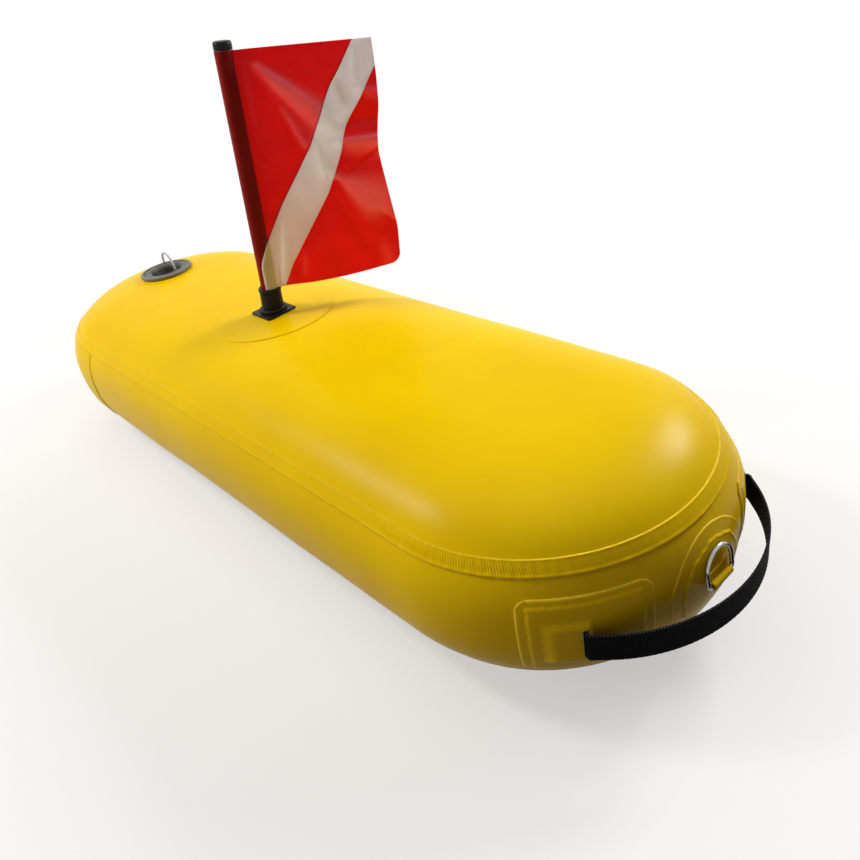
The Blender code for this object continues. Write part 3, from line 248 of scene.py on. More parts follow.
def webbing():
    """Black woven webbing: ribs across it, broken into picks, with its crowns and beaded edges painted grey as
    highlights.
    """
    look = Shader("webbing_black", (0.004, 0.004, 0.0045), 0.72, Specular_IOR_Level=0.03)
    height = look.maths("MULTIPLY", look.wave(0.0015), look.wave(0.0019, "Y", math.radians(38)))
    # Painted highlight: the raised crowns of the weave are coloured greyer.
    tone = look.mix(look.fit(height, 0, 1, 0.45, 1.0), (0.0012, 0.0012, 0.0014), (0.008, 0.008, 0.009))
    round_it = look.add("SeparateXYZ", None, Vector=look.chart()).outputs["Y"]
    for edge in EDGE_CHART:
        off = look.maths("ABSOLUTE", look.maths("SUBTRACT", round_it, edge))
        # Painted highlight: grey beads along the edge.
        beads = look.maths("MULTIPLY", look.fit(off, 1, 0, 0.0012, 0.0017), look.wave(0.0024))
        tone = look.mix(beads, tone, (0.060, 0.060, 0.064))
    look.main(Base_Color=tone, Roughness=look.fit(look.noise(300.0), 0.62, 0.85))
    look.bump(height, 0.6, 0.0005)
    return look.material


def moulded(name, colour, lighter, roughness, gloss=0.3):
    """Moulded plastic or rubber with a fine spark-eroded grain and paler handled patches."""
    look = Shader(name, colour, roughness, Specular_IOR_Level=gloss)
    look.main(Base_Color=look.mix(look.cloud(45.0, 4.0, 0.42, 0.75), colour, lighter))
    look.scuffed(110.0, 4.0, 0.08, 0.10)
    look.bump(look.noise(600.0, 2.0), 0.25, 0.0002)
    return look.material


def steel():
    look = Shader("stainless_steel", (0.60, 0.585, 0.56), 0.20, Metallic=1.0)
    look.main(Base_Color=look.mix(look.cloud(80.0, 3.0, 0.4, 0.7), (0.42, 0.405, 0.38), (0.26, 0.25, 0.23)))
    look.scuffed(220.0, 5.0, 0.06, 0.14)
    look.bump(look.noise(900.0, 2.0), 0.08, 0.0001)
    return look.material


def banded(name, colour, roughness, low, high, bump, wave, **sockets):
    """Thread or fibre: two tones and a relief along one wave."""
    look = Shader(name, colour, roughness, **sockets)
    bands = look.wave(**wave)
    look.main(Base_Color=look.mix(bands, low, high))
    look.bump(bands, *bump)
    return look.material


YELLOW = coated_fabric("pvc_yellow", 0.31)
# The weld's third colour is a painted highlight along its rims.
YELLOW_WELD = coated_fabric("pvc_yellow_weld", 0.29, (1.0, 0.84, 0.10))
# Pale is a painted highlight on fold crests; deep is random tone and also painted shade in fold hollows and beside
# the sleeve.
RED = vinyl("pvc_red", (0.84, 0.016, 0.023), (0.66, 0.010, 0.016), 0.30, (0.0026, 0.00006, 0.00006),
            (1.0, 0.235, 0.360))
# WHITE's last colour is a darker, beiger tone towards the mast's foot.
WHITE = vinyl("pvc_white", (0.97, 0.93, 0.96), (0.76, 0.69, 0.66), 0.36, (0.0044, 0.0042, 0.0052),
              (1.0, 0.99, 1.0), (0.70, 0.53, 0.43))
# Painted shade: the sleeve is a much darker copy of the flag's red vinyl.
SHADED_SLEEVE_RED = vinyl("pvc_red_sleeve_painted_shade", (0.26, 0.006, 0.004), (0.20, 0.005, 0.003), 0.42)
WEBBING = webbing()
RUBBER = moulded("rubber_black", (0.006, 0.006, 0.006), (0.016, 0.016, 0.015), 0.36, 0.14)
VALVE = moulded("valve_grey", (0.155, 0.145, 0.115), (0.220, 0.205, 0.170), 0.38)
CAP_GREY = moulded("valve_cap_grey", (0.070, 0.072, 0.060), (0.105, 0.102, 0.086), 0.34)
SEAL = moulded("seal_rubber", (0.025, 0.025, 0.025), (0.05, 0.05, 0.05), 0.60)
# The stitches' near-black colour is partly thread and partly painted shadow along the stripe's and the sleeve's
# seams.
SEAM_SHADE_THREAD = moulded("thread_red_seam_shade", (0.10, 0.004, 0.016), (0.20, 0.010, 0.030), 0.60)
STEEL = steel()
# Painted shade: the cord's darker tone lies in the twist's grooves.
CORD_WITH_PAINTED_SHADE = banded("cord_white", (0.86, 0.86, 0.84), 0.45, (0.26, 0.26, 0.25), (0.80, 0.80, 0.78), (0.5, 0.0003),
              dict(pitch=0.0011, turn=math.radians(35)), Subsurface_Weight=0.1)
FIBRE = banded("glass_fibre", (0.70, 0.68, 0.60), 0.35, (0.62, 0.60, 0.52), (0.74, 0.72, 0.64), (0.1, 0.0001),
               dict(pitch=0.0006, distortion=1.5))

# A finish is a piece's material, the body that it rides on and its slot. Pieces whose body is None ride on no body.
FABRIC_FINISH = (YELLOW, "hull", "pvc_yellow")
WELD_FINISH = (YELLOW_WELD, "hull", "pvc_yellow")
SOCKET_FINISH = (RUBBER, "hull", "rubber_black")
FITTING_FINISH = (RUBBER, "mast", "rubber_black")
VALVE_FINISH = (VALVE, "hull", "valve_grey")


# ---- Meshes ----
def dress(name, mesh, finish, stands_for=()):
    """An object of a mesh, in its finish, that stands for nodes of the model."""
    material, body, slot = finish
    made = bpy.data.objects.new(name, mesh)
    bpy.context.scene.collection.objects.link(made)
    mesh.shade_smooth()
    mesh.materials.append(material)
    if body:
        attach(made, body)
    if stands_for:
        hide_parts(*stands_for)
    return made


def mesh_piece(name, points, faces, finish, nodes=(), chart=None):
    """A piece from points and faces, with a flat chart in metres."""
    mesh = bpy.data.meshes.new(name)
    mesh.from_pydata([tuple(point) for point in points], [], [tuple(face) for face in faces])
    mesh.validate()
    if chart is not None:
        layer = mesh.uv_layers.new(name="UVMap")
        corner = np.zeros(len(mesh.loops), int)
        mesh.loops.foreach_get("vertex_index", corner)
        layer.data.foreach_set("uv", np.asarray(chart, float)[corner].ravel())
    return dress(name, mesh, finish, nodes)


def grid_piece(name, points, chart, finish, nodes=(), closed=False, keep=None):
    """A sheet whose points lie in columns and rows; closed joins the last column to the first."""
    columns, rows = points.shape[:2]
    faces = []
    for column in range(columns if closed else columns - 1):
        here, after = column * rows, (column + 1) % columns * rows
        for row in range(rows - 1):
            if keep is None or keep(column, row):
                faces.append((here + row, after + row, after + row + 1, here + row + 1))
    return mesh_piece(name, points.reshape(-1, 3), faces, finish, nodes, chart.reshape(-1, 2))


def remesh(mesh, change):
    """Runs a change on the mesh's faces and writes them back."""
    work = bmesh.new()
    work.from_mesh(mesh)
    change(work)
    bmesh.ops.recalc_face_normals(work, faces=work.faces)
    work.to_mesh(mesh)
    work.free()
    mesh.shade_smooth()


def weld(made, limit=0.00002):
    remesh(made.data, lambda work: bmesh.ops.remove_doubles(work, verts=work.verts, dist=limit))
    return made


def mark(made, name, values):
    layer = made.data.attributes.new(name, "FLOAT", "POINT")
    layer.data.foreach_set("value", np.clip(values, 0, 1))
    return made


def mark_rim_highlight(made):
    """Marks how near each place of an open sheet lies to its edge, where the weld's painted highlight goes."""
    work = bmesh.new()
    work.from_mesh(made.data)
    edge = [vertex.co.copy() for vertex in work.verts if vertex.is_boundary]
    work.free()
    tree = kdtree.KDTree(len(edge))
    for index, place in enumerate(edge):
        tree.insert(place, index)
    tree.balance()
    far = np.array([tree.find(vertex.co)[2] for vertex in made.data.vertices])
    return mark(made, "rim", 1.5 - 1.5 * far / 0.0011)


def settle(made):
    """Turns the modifiers into plain mesh."""
    graph = bpy.context.evaluated_depsgraph_get()
    graph.update()
    final = bpy.data.meshes.new_from_object(made.evaluated_get(graph))
    made.modifiers.clear()
    made.data = final
    return made


def modify(made, kind, **settings):
    modifier = made.modifiers.new(kind.lower(), kind)
    for key, value in settings.items():
        setattr(modifier, key, value)


def thicken(made, thickness, offset, rim=0.0):
    """Gives a sheet its thickness, and rounds its rim."""
    modify(made, "SOLIDIFY", thickness=thickness, offset=offset)
    if rim:
        modify(made, "BEVEL", width=rim, segments=2, limit_method="ANGLE", angle_limit=math.radians(55),
               use_clamp_overlap=True)
    return settle(made)


def rounded_profile(corners, radius):
    """A (radius, height) line whose corners are eased; each corner may bring its own radius."""
    line = [Vector(corners[0][:2])]
    for before, corner, after in zip(corners, corners[1:], corners[2:]):
        middle = Vector(corner[:2])
        to_before = Vector(before[:2]) - middle
        to_after = Vector(after[:2]) - middle
        reach = min(corner[2] if len(corner) > 2 else radius, to_before.length * 0.45, to_after.length * 0.45)
        line += bezier(middle + to_before.normalized() * reach, middle, middle + to_after.normalized() * reach, 4)
    line.append(Vector(corners[-1][:2]))
    return line


def spaced(start, end, count):
    """Plain numbers from start to end."""
    return np.linspace(start, end, count).tolist()


def bezier(start, corner, end, steps):
    return [(1 - t) ** 2 * start + 2 * t * (1 - t) * corner + t * t * end for t in spaced(0, 1, steps + 1)]


def polar(reach, angle, height=0.0):
    return Vector((reach * math.cos(angle), reach * math.sin(angle), height))


def arc(middle, radius, start, end, count):
    """Flat points of an arc round its middle."""
    return [Vector(middle) + polar(radius, angle).xy for angle in spaced(start, end, count)]


def placed(local, place):
    """An array of points, moved by a matrix."""
    return local @ np.array(place.to_3x3()).T + np.array(place.translation)


def stacked(*parts):
    """One array of points from arrays or numbers for their parts."""
    return np.stack(np.broadcast_arrays(*parts), -1)


def runs(line):
    """How far each point lies along a line."""
    return np.cumsum([0] + [(after - before).length for before, after in zip(line, line[1:])])


def turned(name, corners, radius, steps, place, finish, nodes=()):
    """A turned piece; corners run up its outside from the axis or round a closed ring."""
    ring = bool(corners[0][0])
    line = rounded_profile(list(corners) + ([corners[0]] if ring else []), radius)
    reach, height = np.array(line).T
    angle = np.linspace(0, TURN, steps, endpoint=False)[:, None]
    points = placed(stacked(reach * np.cos(angle), reach * np.sin(angle), height), place)
    return weld(grid_piece(name, points, stacked(angle * reach.max(), runs(line)), finish, nodes, closed=True))


def tube(name, line, radius, sides, finish, nodes=(), closed=False):
    """A round rod along a line of points, with flat ends unless it closes on itself."""
    count = len(line)
    length = runs(line)
    side = None
    points, chart = np.zeros((count, sides, 3)), np.zeros((count, sides, 2))
    for index, point in enumerate(line):
        ahead = line[(index + 1) % count] if closed or index + 1 < count else point
        behind = line[index - 1] if closed or index else point
        heading = (ahead - behind).normalized()
        side = side or heading.orthogonal().normalized()
        side = (side - heading * side.dot(heading)).normalized()
        other = heading.cross(side)
        for turn in range(sides):
            angle = TURN * turn / sides
            points[index, turn] = point + radius * (math.cos(angle) * side + math.sin(angle) * other)
            chart[index, turn] = (length[index], TURN * radius * turn / sides)
    faces = []
    for index in range(count if closed else count - 1):
        here, after = index * sides, (index + 1) % count * sides
        for turn in range(sides):
            beside = (turn + 1) % sides
            faces.append((here + turn, after + turn, after + beside, here + beside))
    if not closed:
        faces += [tuple(range(sides)), tuple(range(count * sides - 1, (count - 1) * sides - 1, -1))]
    return weld(mesh_piece(name, points.reshape(-1, 3), faces, finish, nodes, chart.reshape(-1, 2)))


# ---- The hull's skin ----
def section_table(samples=4001):
    angle = np.linspace(-math.pi / 2, math.pi / 2, samples)
    sine, cosine = np.sin(angle), np.clip(np.cos(angle), 0, 1)
    reach = HALF_WIDTH * cosine ** (2 / FLANK_EXPONENT)
    rise = HALF_HEIGHT * np.sign(sine) * np.abs(sine) ** (2 / CROWN_EXPONENT)
    out = FLANK_EXPONENT * (reach / HALF_WIDTH) ** (FLANK_EXPONENT - 1) / HALF_WIDTH
    up = CROWN_EXPONENT * np.sign(rise) * (np.abs(rise) / HALF_HEIGHT) ** (CROWN_EXPONENT - 1) / HALF_HEIGHT
    length = np.hypot(out, up)
    girth = np.concatenate([[0], np.cumsum(np.hypot(np.diff(reach), np.diff(rise)))])
    girth -= girth[samples // 2]
    return girth, reach, rise, out / length, up / length


GIRTH, REACH, RISE, OUT, UP = section_table()
CROWN_GIRTH = float(GIRTH[-1])


def girth_at(rise):
    return float(np.interp(rise, RISE, GIRTH))


UPPER_SEAM = girth_at(UPPER_SEAM_RISE)
LOWER_SEAM = girth_at(-LOWER_SEAM_DROP)


def bare_side(along, girth, lift):
    """Points of the ideal hull: along is measured round the waist from the nose, + to port."""
    along, girth, lift = np.broadcast_arrays(along, girth, lift)
    reach = np.interp(girth, GIRTH, REACH) + lift * np.interp(girth, GIRTH, OUT)
    height = MIDDLE_Z + np.interp(girth, GIRTH, RISE) + lift * np.interp(girth, GIRTH, UP)
    reach, height = np.maximum(reach, 0), np.maximum(height, -lift)
    side = np.where(along >= 0, 1.0, -1.0)
    distance = np.abs(along)
    bow = distance / HALF_WIDTH
    straight = distance - QUARTER
    stern = (straight - 2 * CORE) / HALF_WIDTH
    at_bow, amid = distance <= QUARTER, straight <= 2 * CORE
    x = np.where(at_bow, CORE + reach * np.cos(bow), np.where(amid, CORE - straight, -CORE - reach * np.sin(stern)))
    y = side * np.where(at_bow, reach * np.sin(bow), np.where(amid, reach, reach * np.cos(stern)))
    return stacked(x, y, height)


def unevenness(points):
    """How far the stretched fabric stands off its ideal shape."""
    x, y, z = points[..., 0], points[..., 1], points[..., 2]
    return 0.00022 * (np.sin(21 * x + 13 * y + 1.0) + np.sin(33 * y - 17 * x + 29 * z + 2.2)
                      + 0.6 * np.sin(47 * x + 31 * z))


def puckers(along, girth):
    """Fine gathers that run off the upper seam, strongest where it turns round the ends."""
    off = np.maximum(np.abs(girth - UPPER_SEAM) - TAPE_WIDTH / 2, 0)
    turning = np.clip((QUARTER + 0.12 - np.abs(along)) / 0.12, 0, 1) + np.clip(
        (np.abs(along) - QUARTER - 2 * CORE + 0.10) / 0.10, 0, 1)
    wander = 1.6 * np.sin(along * 31) + 0.9 * np.sin(along * 83 + 1)
    return 0.00005 * np.exp(-off / 0.012) * (0.4 + turning) * np.sin(TURN * along / 0.0085 + wander)


def side_points(along, girth, lift):
    """Points at a lift off the real hull, with its unevenness and gathers."""
    extra = unevenness(bare_side(along, girth, 0)) + puckers(along, girth)
    return bare_side(along, girth, lift + extra)


def crown_height(x, y):
    """The ideal hull's height over a place in plan."""
    distance = np.hypot(np.maximum(np.abs(x) - CORE, 0), y)
    half = len(GIRTH) // 2
    return MIDDLE_Z + np.interp(-distance, -REACH[half:], RISE[half:])


def crown_points(x, y, lift):
    """Points over the crown, above places in plan."""
    base = stacked(x, y, crown_height(x, y))
    base[..., 2] += lift + unevenness(base)
    return base


def mirrored(half):
    """Places round the waist and back from those of one half, which run from the nose to the stern."""
    return np.concatenate([-half[:0:-1], half[:-1]])


def stations(round_steps, straight_steps):
    return mirrored(np.concatenate([np.linspace(0, QUARTER, round_steps + 1)[:-1],
                                    QUARTER + np.linspace(0, 2 * CORE, straight_steps + 1)[:-1],
                                    QUARTER + 2 * CORE + np.linspace(0, QUARTER, round_steps + 1)]))


def ribbed_stations():
    """Stations for the upper tape, close together where it is ribbed and at its joint's groove."""
    groove = abs(JOINT_MIDDLE + JOINT_HALF)
    coarse, fine = 0.0024, 0.00045
    return mirrored(np.concatenate([
        np.arange(0, 0.12, coarse), np.arange(0.12, 0.315, fine), np.arange(0.315, groove - 0.004, coarse),
        np.arange(groove - 0.004, groove + 0.004, fine), np.arange(groove + 0.004, HALF_ROUND - coarse / 2, coarse),
        [HALF_ROUND]]))


def hull_skin(name, node, girths, around, relief=None):
    """A panel of the hull or, with its relief, a tape over a seam."""
    along, girth = np.meshgrid(around, girths, indexing="ij")
    points = side_points(along, girth, GAP + relief(along, girth) if relief else 0)
    made = weld(grid_piece(name, points, stacked(along, girth), WELD_FINISH if relief else FABRIC_FINISH,
                           (node,), closed=True))
    return thicken(mark_rim_highlight(made), TAPE_THICKNESS, 1, ROUNDED) if relief else thicken(made, HULL_WALL, -1)


def crowded(start, end, count):
    return np.array([start + (end - start) * (step / count) ** 1.25 for step in range(count + 1)])


def tape_ribs(along, girth):
    """The weld's fine ribs across the tape, where it turns in to the bow's quarter."""
    across = np.clip(1 - np.abs(girth - UPPER_SEAM) / (TAPE_WIDTH / 2 - 0.0016), 0, 1) ** 0.5
    place = np.abs(along)
    stretch = np.clip((place - 0.125) / 0.04, 0, 1) * np.clip((0.31 - place) / 0.03, 0, 1)
    slanted = along + 0.35 * (girth - UPPER_SEAM)
    return 0.00030 * across * stretch * np.sin(TURN * slanted / 0.0024)


def beads(along, girth):
    """The squeezed-out bead along each edge of a welded tape, larger along its lower edge."""
    seam = UPPER_SEAM if np.mean(girth) > 0 else LOWER_SEAM
    inward = TAPE_WIDTH / 2 - np.abs(girth - seam)
    below = girth < seam
    uneven = 1 + np.where(below, 0.55, 0.2) * (np.sin(along * 410) + 0.8 * np.sin(along * 170 + 1)) * 0.5
    wide = np.where(below, 0.0010, 0.0006)
    bead = np.where(below, 0.00052, 0.00036) * np.exp(-((inward - wide - 0.0002) / wide) ** 2) * uneven
    return bead - 0.00060 * np.exp(-(np.maximum(inward, 0) / 0.0004) ** 2)


def tape_relief(along, girth):
    joint = -0.0003 * np.exp(-((along - JOINT_MIDDLE - JOINT_HALF) / 0.0006) ** 2)
    return tape_ribs(along, girth) + beads(along, girth) + joint


def hull():
    top = hull_skin("hull_top_skin", "hull_top_panel", crowded(UPPER_SEAM + GAP / 2, CROWN_GIRTH, 46),
                    stations(84, 150))
    deep = 0.006
    hole = turned("valve_hole_tool", [(0, -deep), (VALVE_HOLE, -deep), (VALVE_HOLE, deep), (0, deep)], 0, 72,
                  VALVE_PLACE, (YELLOW, None, "pvc_yellow"))
    modify(top, "BOOLEAN", operation="DIFFERENCE", solver="EXACT", object=hole)
    settle(top).data.shade_smooth()
    bpy.data.objects.remove(hole)
    hull_skin("hull_bottom_skin", "hull_bottom_panel", crowded(LOWER_SEAM - GAP / 2, -CROWN_GIRTH, 36)[::-1],
              stations(60, 80))
    hull_skin("hull_band_skin", "hull_side_band", np.linspace(LOWER_SEAM + GAP / 2, UPPER_SEAM - GAP / 2, 44),
              stations(130, 200))
    half = TAPE_WIDTH / 2
    for tag, seam, around, relief in (("upper", UPPER_SEAM, ribbed_stations(), tape_relief),
                                      ("lower", LOWER_SEAM, stations(90, 120), beads)):
        hull_skin("seam_weld_" + tag, "seam_tape_" + tag, np.linspace(seam - half, seam + half, 20), around, relief)


# ---- Patches on the hull ----
# How far in from a patch's rim the grid is close: on the discs, and on the handle's patches.
RIM_GRID = 0.0024
BRIM = 0.0026


def smooth(value):
    held = np.clip(value, 0, 1)
    return held * held * (3 - 2 * held)


def box_share(x, low, high, ramp):
    return np.minimum(smooth((x - low) / ramp + 1), smooth((high - x) / ramp + 1))


def lines(marks, widest):
    """Grid lines through the marks, and between them where they lie too far apart."""
    found = [min(marks)]
    for mark in sorted(marks)[1:]:
        if mark - found[-1] > 0.00005:
            steps = max(1, math.ceil((mark - found[-1]) / widest))
            found += list(np.linspace(found[-1], mark, steps + 1)[1:])
    return np.array(found)


def with_rim(radii, outer, *more):
    """Adds the close grid lines of a rim's bead, and others that are needed."""
    return np.unique(np.concatenate([radii, *more, np.linspace(outer - RIM_GRID, outer, 7)]))


def turned_in(over_x, over_y):
    """Where a corner's square is passed on both sides, and by what share that is drawn in to a round corner."""
    turning = (over_x > 0) & (over_y > 0)
    reach = np.maximum(np.hypot(over_x, over_y), 1e-9)
    return turning, np.where(turning, np.maximum(over_x, over_y) / reach, 1)


def round_corners(x, y, half_x, half_y, corner):
    over_x = np.abs(x) - (half_x - corner)
    over_y = np.abs(y) - (half_y - corner)
    turning, share = turned_in(over_x, over_y)
    new_x = np.where(turning, np.copysign(half_x - corner + over_x * share, x), x)
    new_y = np.where(turning, np.copysign(half_y - corner + over_y * share, y), y)
    return new_x, new_y


def edge_bead(distance):
    """A bead of adhesive and coating at the patch's rim, which is pressed down; distance is in from the rim."""
    pressed = 0.00075 * np.exp(-(np.maximum(distance, 0) / 0.00035) ** 2)
    return 0.00034 * np.exp(-((distance - 0.0005) / 0.0005) ** 2) - pressed


def face_outward(made, outward):
    """Turns a sheet's faces so that its outer side is the front."""
    if made.data.polygons[0].normal.dot(outward) < 0:
        made.data.flip_normals()


def disc_piece(name, node, radii, steps, at, thickness, rim=ROUNDED, pale=False):
    """A welded disc or ring; at gives its points for places on its own flat, and pale marks its rim for the weld's
    painted highlight.
    """
    angle = np.linspace(0, TURN, steps, endpoint=False)
    radius, turn = np.meshgrid(radii, angle, indexing="ij")
    x, y = radius * np.cos(turn), radius * np.sin(turn)
    order = np.transpose(at(x, y, radius), (1, 0, 2))
    chart = np.transpose(stacked(x, y), (1, 0, 2))
    made = weld(grid_piece(name, order, chart, WELD_FINISH, (node,), closed=True))
    face_outward(made, Vector(order[0, -1]) - Vector((np.clip(order[0, -1, 0], -CORE, CORE), 0, MIDDLE_Z)))
    if pale:
        mark_rim_highlight(made)
    return thicken(made, thickness, 1, rim)


def crown_disc(name, node, inner, outer, middle_x, rings):
    radii = with_rim(lines([inner, outer, outer - RIM_GRID], (outer - inner) / rings), outer)

    def at(x, y, radius):
        return crown_points(middle_x + x, y, GAP + edge_bead(outer - radius))

    disc_piece(name, node, radii, 144, at, PATCH_THICKNESS)


def joint_weld():
    half, edge, rim = JOINT_HALF, TAPE_WIDTH / 2 + GAP, 0.003
    x, girth = np.meshgrid(lines([-half, half, -half + rim, half - rim], 0.0011),
                           lines([LOWER_SEAM + edge, UPPER_SEAM - edge], 0.004), indexing="ij")
    points = side_points(JOINT_MIDDLE + x, girth, GAP + edge_bead(half - np.abs(x)))
    made = weld(grid_piece("band_joint_weld", points, stacked(x, girth), WELD_FINISH, ("band_joint_tape",)))
    thicken(made, TAPE_THICKNESS, 1, ROUNDED)


HANDLE_DROP = 0.0056
WEBBING_WIDTH = 0.0250
WEBBING_THICKNESS = 0.0018
SLOT_ANGLE = math.radians(39.3)
SPAN_ANGLE = math.radians(34.6)
SPAN_OFFSET = 0.0104
TAIL_LENGTH = 0.0190
HANDLE_STANDOFF = 0.0255
PATCH_ANGLE = math.radians(38.3)
PAD_THICKNESS = 0.0006
PAD_LIFT = GAP + PAD_THICKNESS + GAP
TAIL_LIFT = PAD_LIFT + WEBBING_THICKNESS / 2
BUMP_LIFT = TAIL_LIFT + WEBBING_THICKNESS / 2 + GAP
HANDLE_Z = MIDDLE_Z - HANDLE_DROP


def handle_patches(side, tag):
    """The pad and, over it, the patch that the webbing comes out of, with the tail's bump and its slot."""
    middle = side * PATCH_ANGLE * HALF_WIDTH
    girth = girth_at(-HANDLE_DROP)
    outward = Vector((math.cos(side * PATCH_ANGLE), math.sin(side * PATCH_ANGLE), 0))
    pad_x, pad_y = 0.0395, 0.0315
    patch_x, patch_y = 0.050, 0.0395

    def patch_piece(kind, half_x, half_y, corner, lift, thickness, widest, marks=((), ()), hole=None):
        columns, rows = (lines([-half, half, -half + BRIM, half - BRIM, *more], widest)
                         for half, more in ((half_x, marks[0]), (half_y, marks[1])))
        x, y = round_corners(*np.meshgrid(columns, rows, indexing="ij"), half_x, half_y, corner)

        def keep(column, row):
            return hole is None or not hole((columns[column] + columns[column + 1]) / 2,
                                            (rows[row] + rows[row + 1]) / 2)

        made = weld(grid_piece("handle_%s_skin_%s" % (kind, tag), side_points(middle + x, girth + y, lift(x, y)),
                               stacked(x, y), WELD_FINISH, ("handle_%s_%s" % (kind, tag),), keep=keep))
        face_outward(made, outward)
        thicken(mark_rim_highlight(made), thickness, 1, ROUNDED)

    patch_piece("pad", pad_x, pad_y, 0.008, lambda x, y: GAP + 0 * x, PAD_THICKNESS, 0.004)

    slot = side * SLOT_ANGLE * HALF_WIDTH - middle
    tail_end, mouth = slot + side * (TAIL_LENGTH + 0.001), slot - side * 0.0025
    low_x, high_x = min(tail_end, mouth), max(tail_end, mouth)
    half_tail = WEBBING_WIDTH / 2 + 0.001
    ramp = 0.0032

    def lift(x, y):
        on_pad = np.minimum(box_share(x, -pad_x - GAP, pad_x + GAP, ramp),
                            box_share(y, -pad_y - GAP, pad_y + GAP, ramp))
        on_tail = np.minimum(box_share(x, low_x, high_x, np.where(side * x > side * slot, 0.0110, 0.0030)),
                             box_share(y, -half_tail, half_tail, 0.0075))
        low = GAP + (PAD_LIFT - GAP) * on_pad
        top = BUMP_LIFT + HALF_WIDTH - np.interp(girth + y, GIRTH, REACH)
        waves = np.sin(x * 900 + 5 * np.sin(y * 210)) + np.sin(y * 760 + 4 * np.sin(x * 190))
        ragged = 0.00016 * waves * on_pad * (1 - on_pad) * 4
        return low + (top - low) * on_tail + ragged + edge_bead(np.minimum(patch_x - np.abs(x), patch_y - np.abs(y)))

    slot_x, slot_y = 0.0016, 0.0132
    marks_x = [slot - slot_x, slot + slot_x, low_x - ramp, low_x, high_x, high_x + ramp, -pad_x - ramp, -pad_x, pad_x,
               pad_x + ramp]
    marks_y = [-slot_y, slot_y, -half_tail - ramp, half_tail + ramp, -pad_y - ramp, -pad_y, pad_y, pad_y + ramp]
    patch_piece("patch", patch_x, patch_y, 0.010, lift, PATCH_THICKNESS, 0.0013, (marks_x, marks_y),
                lambda x, y: abs(x - slot) < slot_x and abs(y) < slot_y)


# ---- Webbing handle ----
def bow_place(angle, lift):
    return Vector((CORE, 0)) + polar(HALF_WIDTH + lift, angle).xy


def strap_line():
    """The webbing's middle line in plan, from the near tail round the bow to the far tail."""
    start = bow_place(SPAN_ANGLE, SPAN_OFFSET)
    tip = CORE + HALF_WIDTH + HANDLE_STANDOFF
    sag = tip - start.x
    radius = (sag ** 2 + start.y ** 2) / (2 * sag)
    half_angle = math.asin(start.y / radius)
    corner = bow_place(SLOT_ANGLE, TAIL_LIFT)
    out, heading = polar(1, SLOT_ANGLE).xy, polar(1, half_angle + math.pi / 2).xy
    knee = corner + out * (start - corner).cross(heading) / out.cross(heading)
    bend, reach = 0.0014, 0.0022
    root = [bow_place(SLOT_ANGLE + step / HALF_WIDTH, TAIL_LIFT) for step in spaced(TAIL_LENGTH, 2 * bend, 24)]
    root += bezier(root[-1] + (corner - root[-1]).normalized() * 0.0006, corner, corner + out * bend, 6)
    root += bezier(knee + (corner - knee).normalized() * reach, knee, knee + (start - knee).normalized() * reach, 6)
    first = root[-1]
    root += [first.lerp(start, share) for share in (0.25, 0.5, 0.75)]
    near = [Vector((place.x, -place.y)) for place in root]
    return near + arc((tip - radius, 0), radius, -half_angle, half_angle, 240) + root[::-1]


def webbing_section(half, thin, rim):
    """The webbing's outline across: (out, up) up its outer face, over its edge and down its inner face."""
    section = [(thin, share * (half - rim)) for share in spaced(-1, 1, 19)]
    for start in (0, math.pi):
        turn = [polar(1, angle) for angle in spaced(start, start + math.pi, 9)[1:-1]]
        edge = half - rim if start == 0 else rim - half
        section += [(thin * spot.x, edge + rim * spot.y) for spot in turn]
        if start == 0:
            section += [(-thin, share * (half - rim)) for share in spaced(1, -1, 19)]
    return section


def handle():
    line = strap_line()
    half, thin, rim, pick = WEBBING_WIDTH / 2, WEBBING_THICKNESS / 2, 0.0007, 0.0024
    section = webbing_section(half, thin, rim)
    around = np.cumsum([0] + [math.dist(a, b) for a, b in zip(section, section[1:])] + [0.0003])
    out, up = np.array(section + section[:1]).T
    x, y, run = (part[:, None] for part in (*np.array(line).T, runs(line)))
    ahead_x, ahead_y = np.gradient(x, axis=0), np.gradient(y, axis=0)
    ahead = np.hypot(ahead_x, ahead_y)
    beaded = np.sin(TURN * run / pick)
    stitch = 0.00016 * smooth((np.abs(up) - half + 0.0030) / 0.0016) * beaded
    groove = -0.00018 * np.exp(-((np.abs(up) - half + 0.0031) / 0.0005) ** 2)
    off = out + np.where(np.abs(out) > thin * 0.4, np.copysign(stitch + groove, out), 0)
    grow = 1 + np.where(np.abs(up) > half - rim, 0.00018 * beaded / half, 0)
    points = stacked(x + ahead_y / ahead * off, y - ahead_x / ahead * off, HANDLE_Z + up * grow)
    made = weld(grid_piece("handle_webbing", points, stacked(run, around), (WEBBING, None, "webbing_black"),
                           ("handle_strap", "handle_root_near", "handle_root_far")))
    remesh(made.data, lambda work: bmesh.ops.holes_fill(
        work, edges=[edge for edge in work.edges if edge.is_boundary], sides=0))
    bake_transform(made)


# ---- Tow ring ----
RING_DROP = 0.0024
RING_WIRE_RADIUS = 0.00175
RING_Z = MIDDLE_Z - RING_DROP
RING_PAD_THICKNESS = 0.0005
RING_PATCH_THICKNESS = 0.0006
RING_PATCH_TOP = GAP + RING_PAD_THICKNESS + GAP + RING_PATCH_THICKNESS
TAB_INNER = RING_WIRE_RADIUS + GAP
TAB_THICKNESS = 0.0014
RING_X = CORE + HALF_WIDTH + RING_PATCH_TOP + GAP + TAB_INNER + TAB_THICKNESS


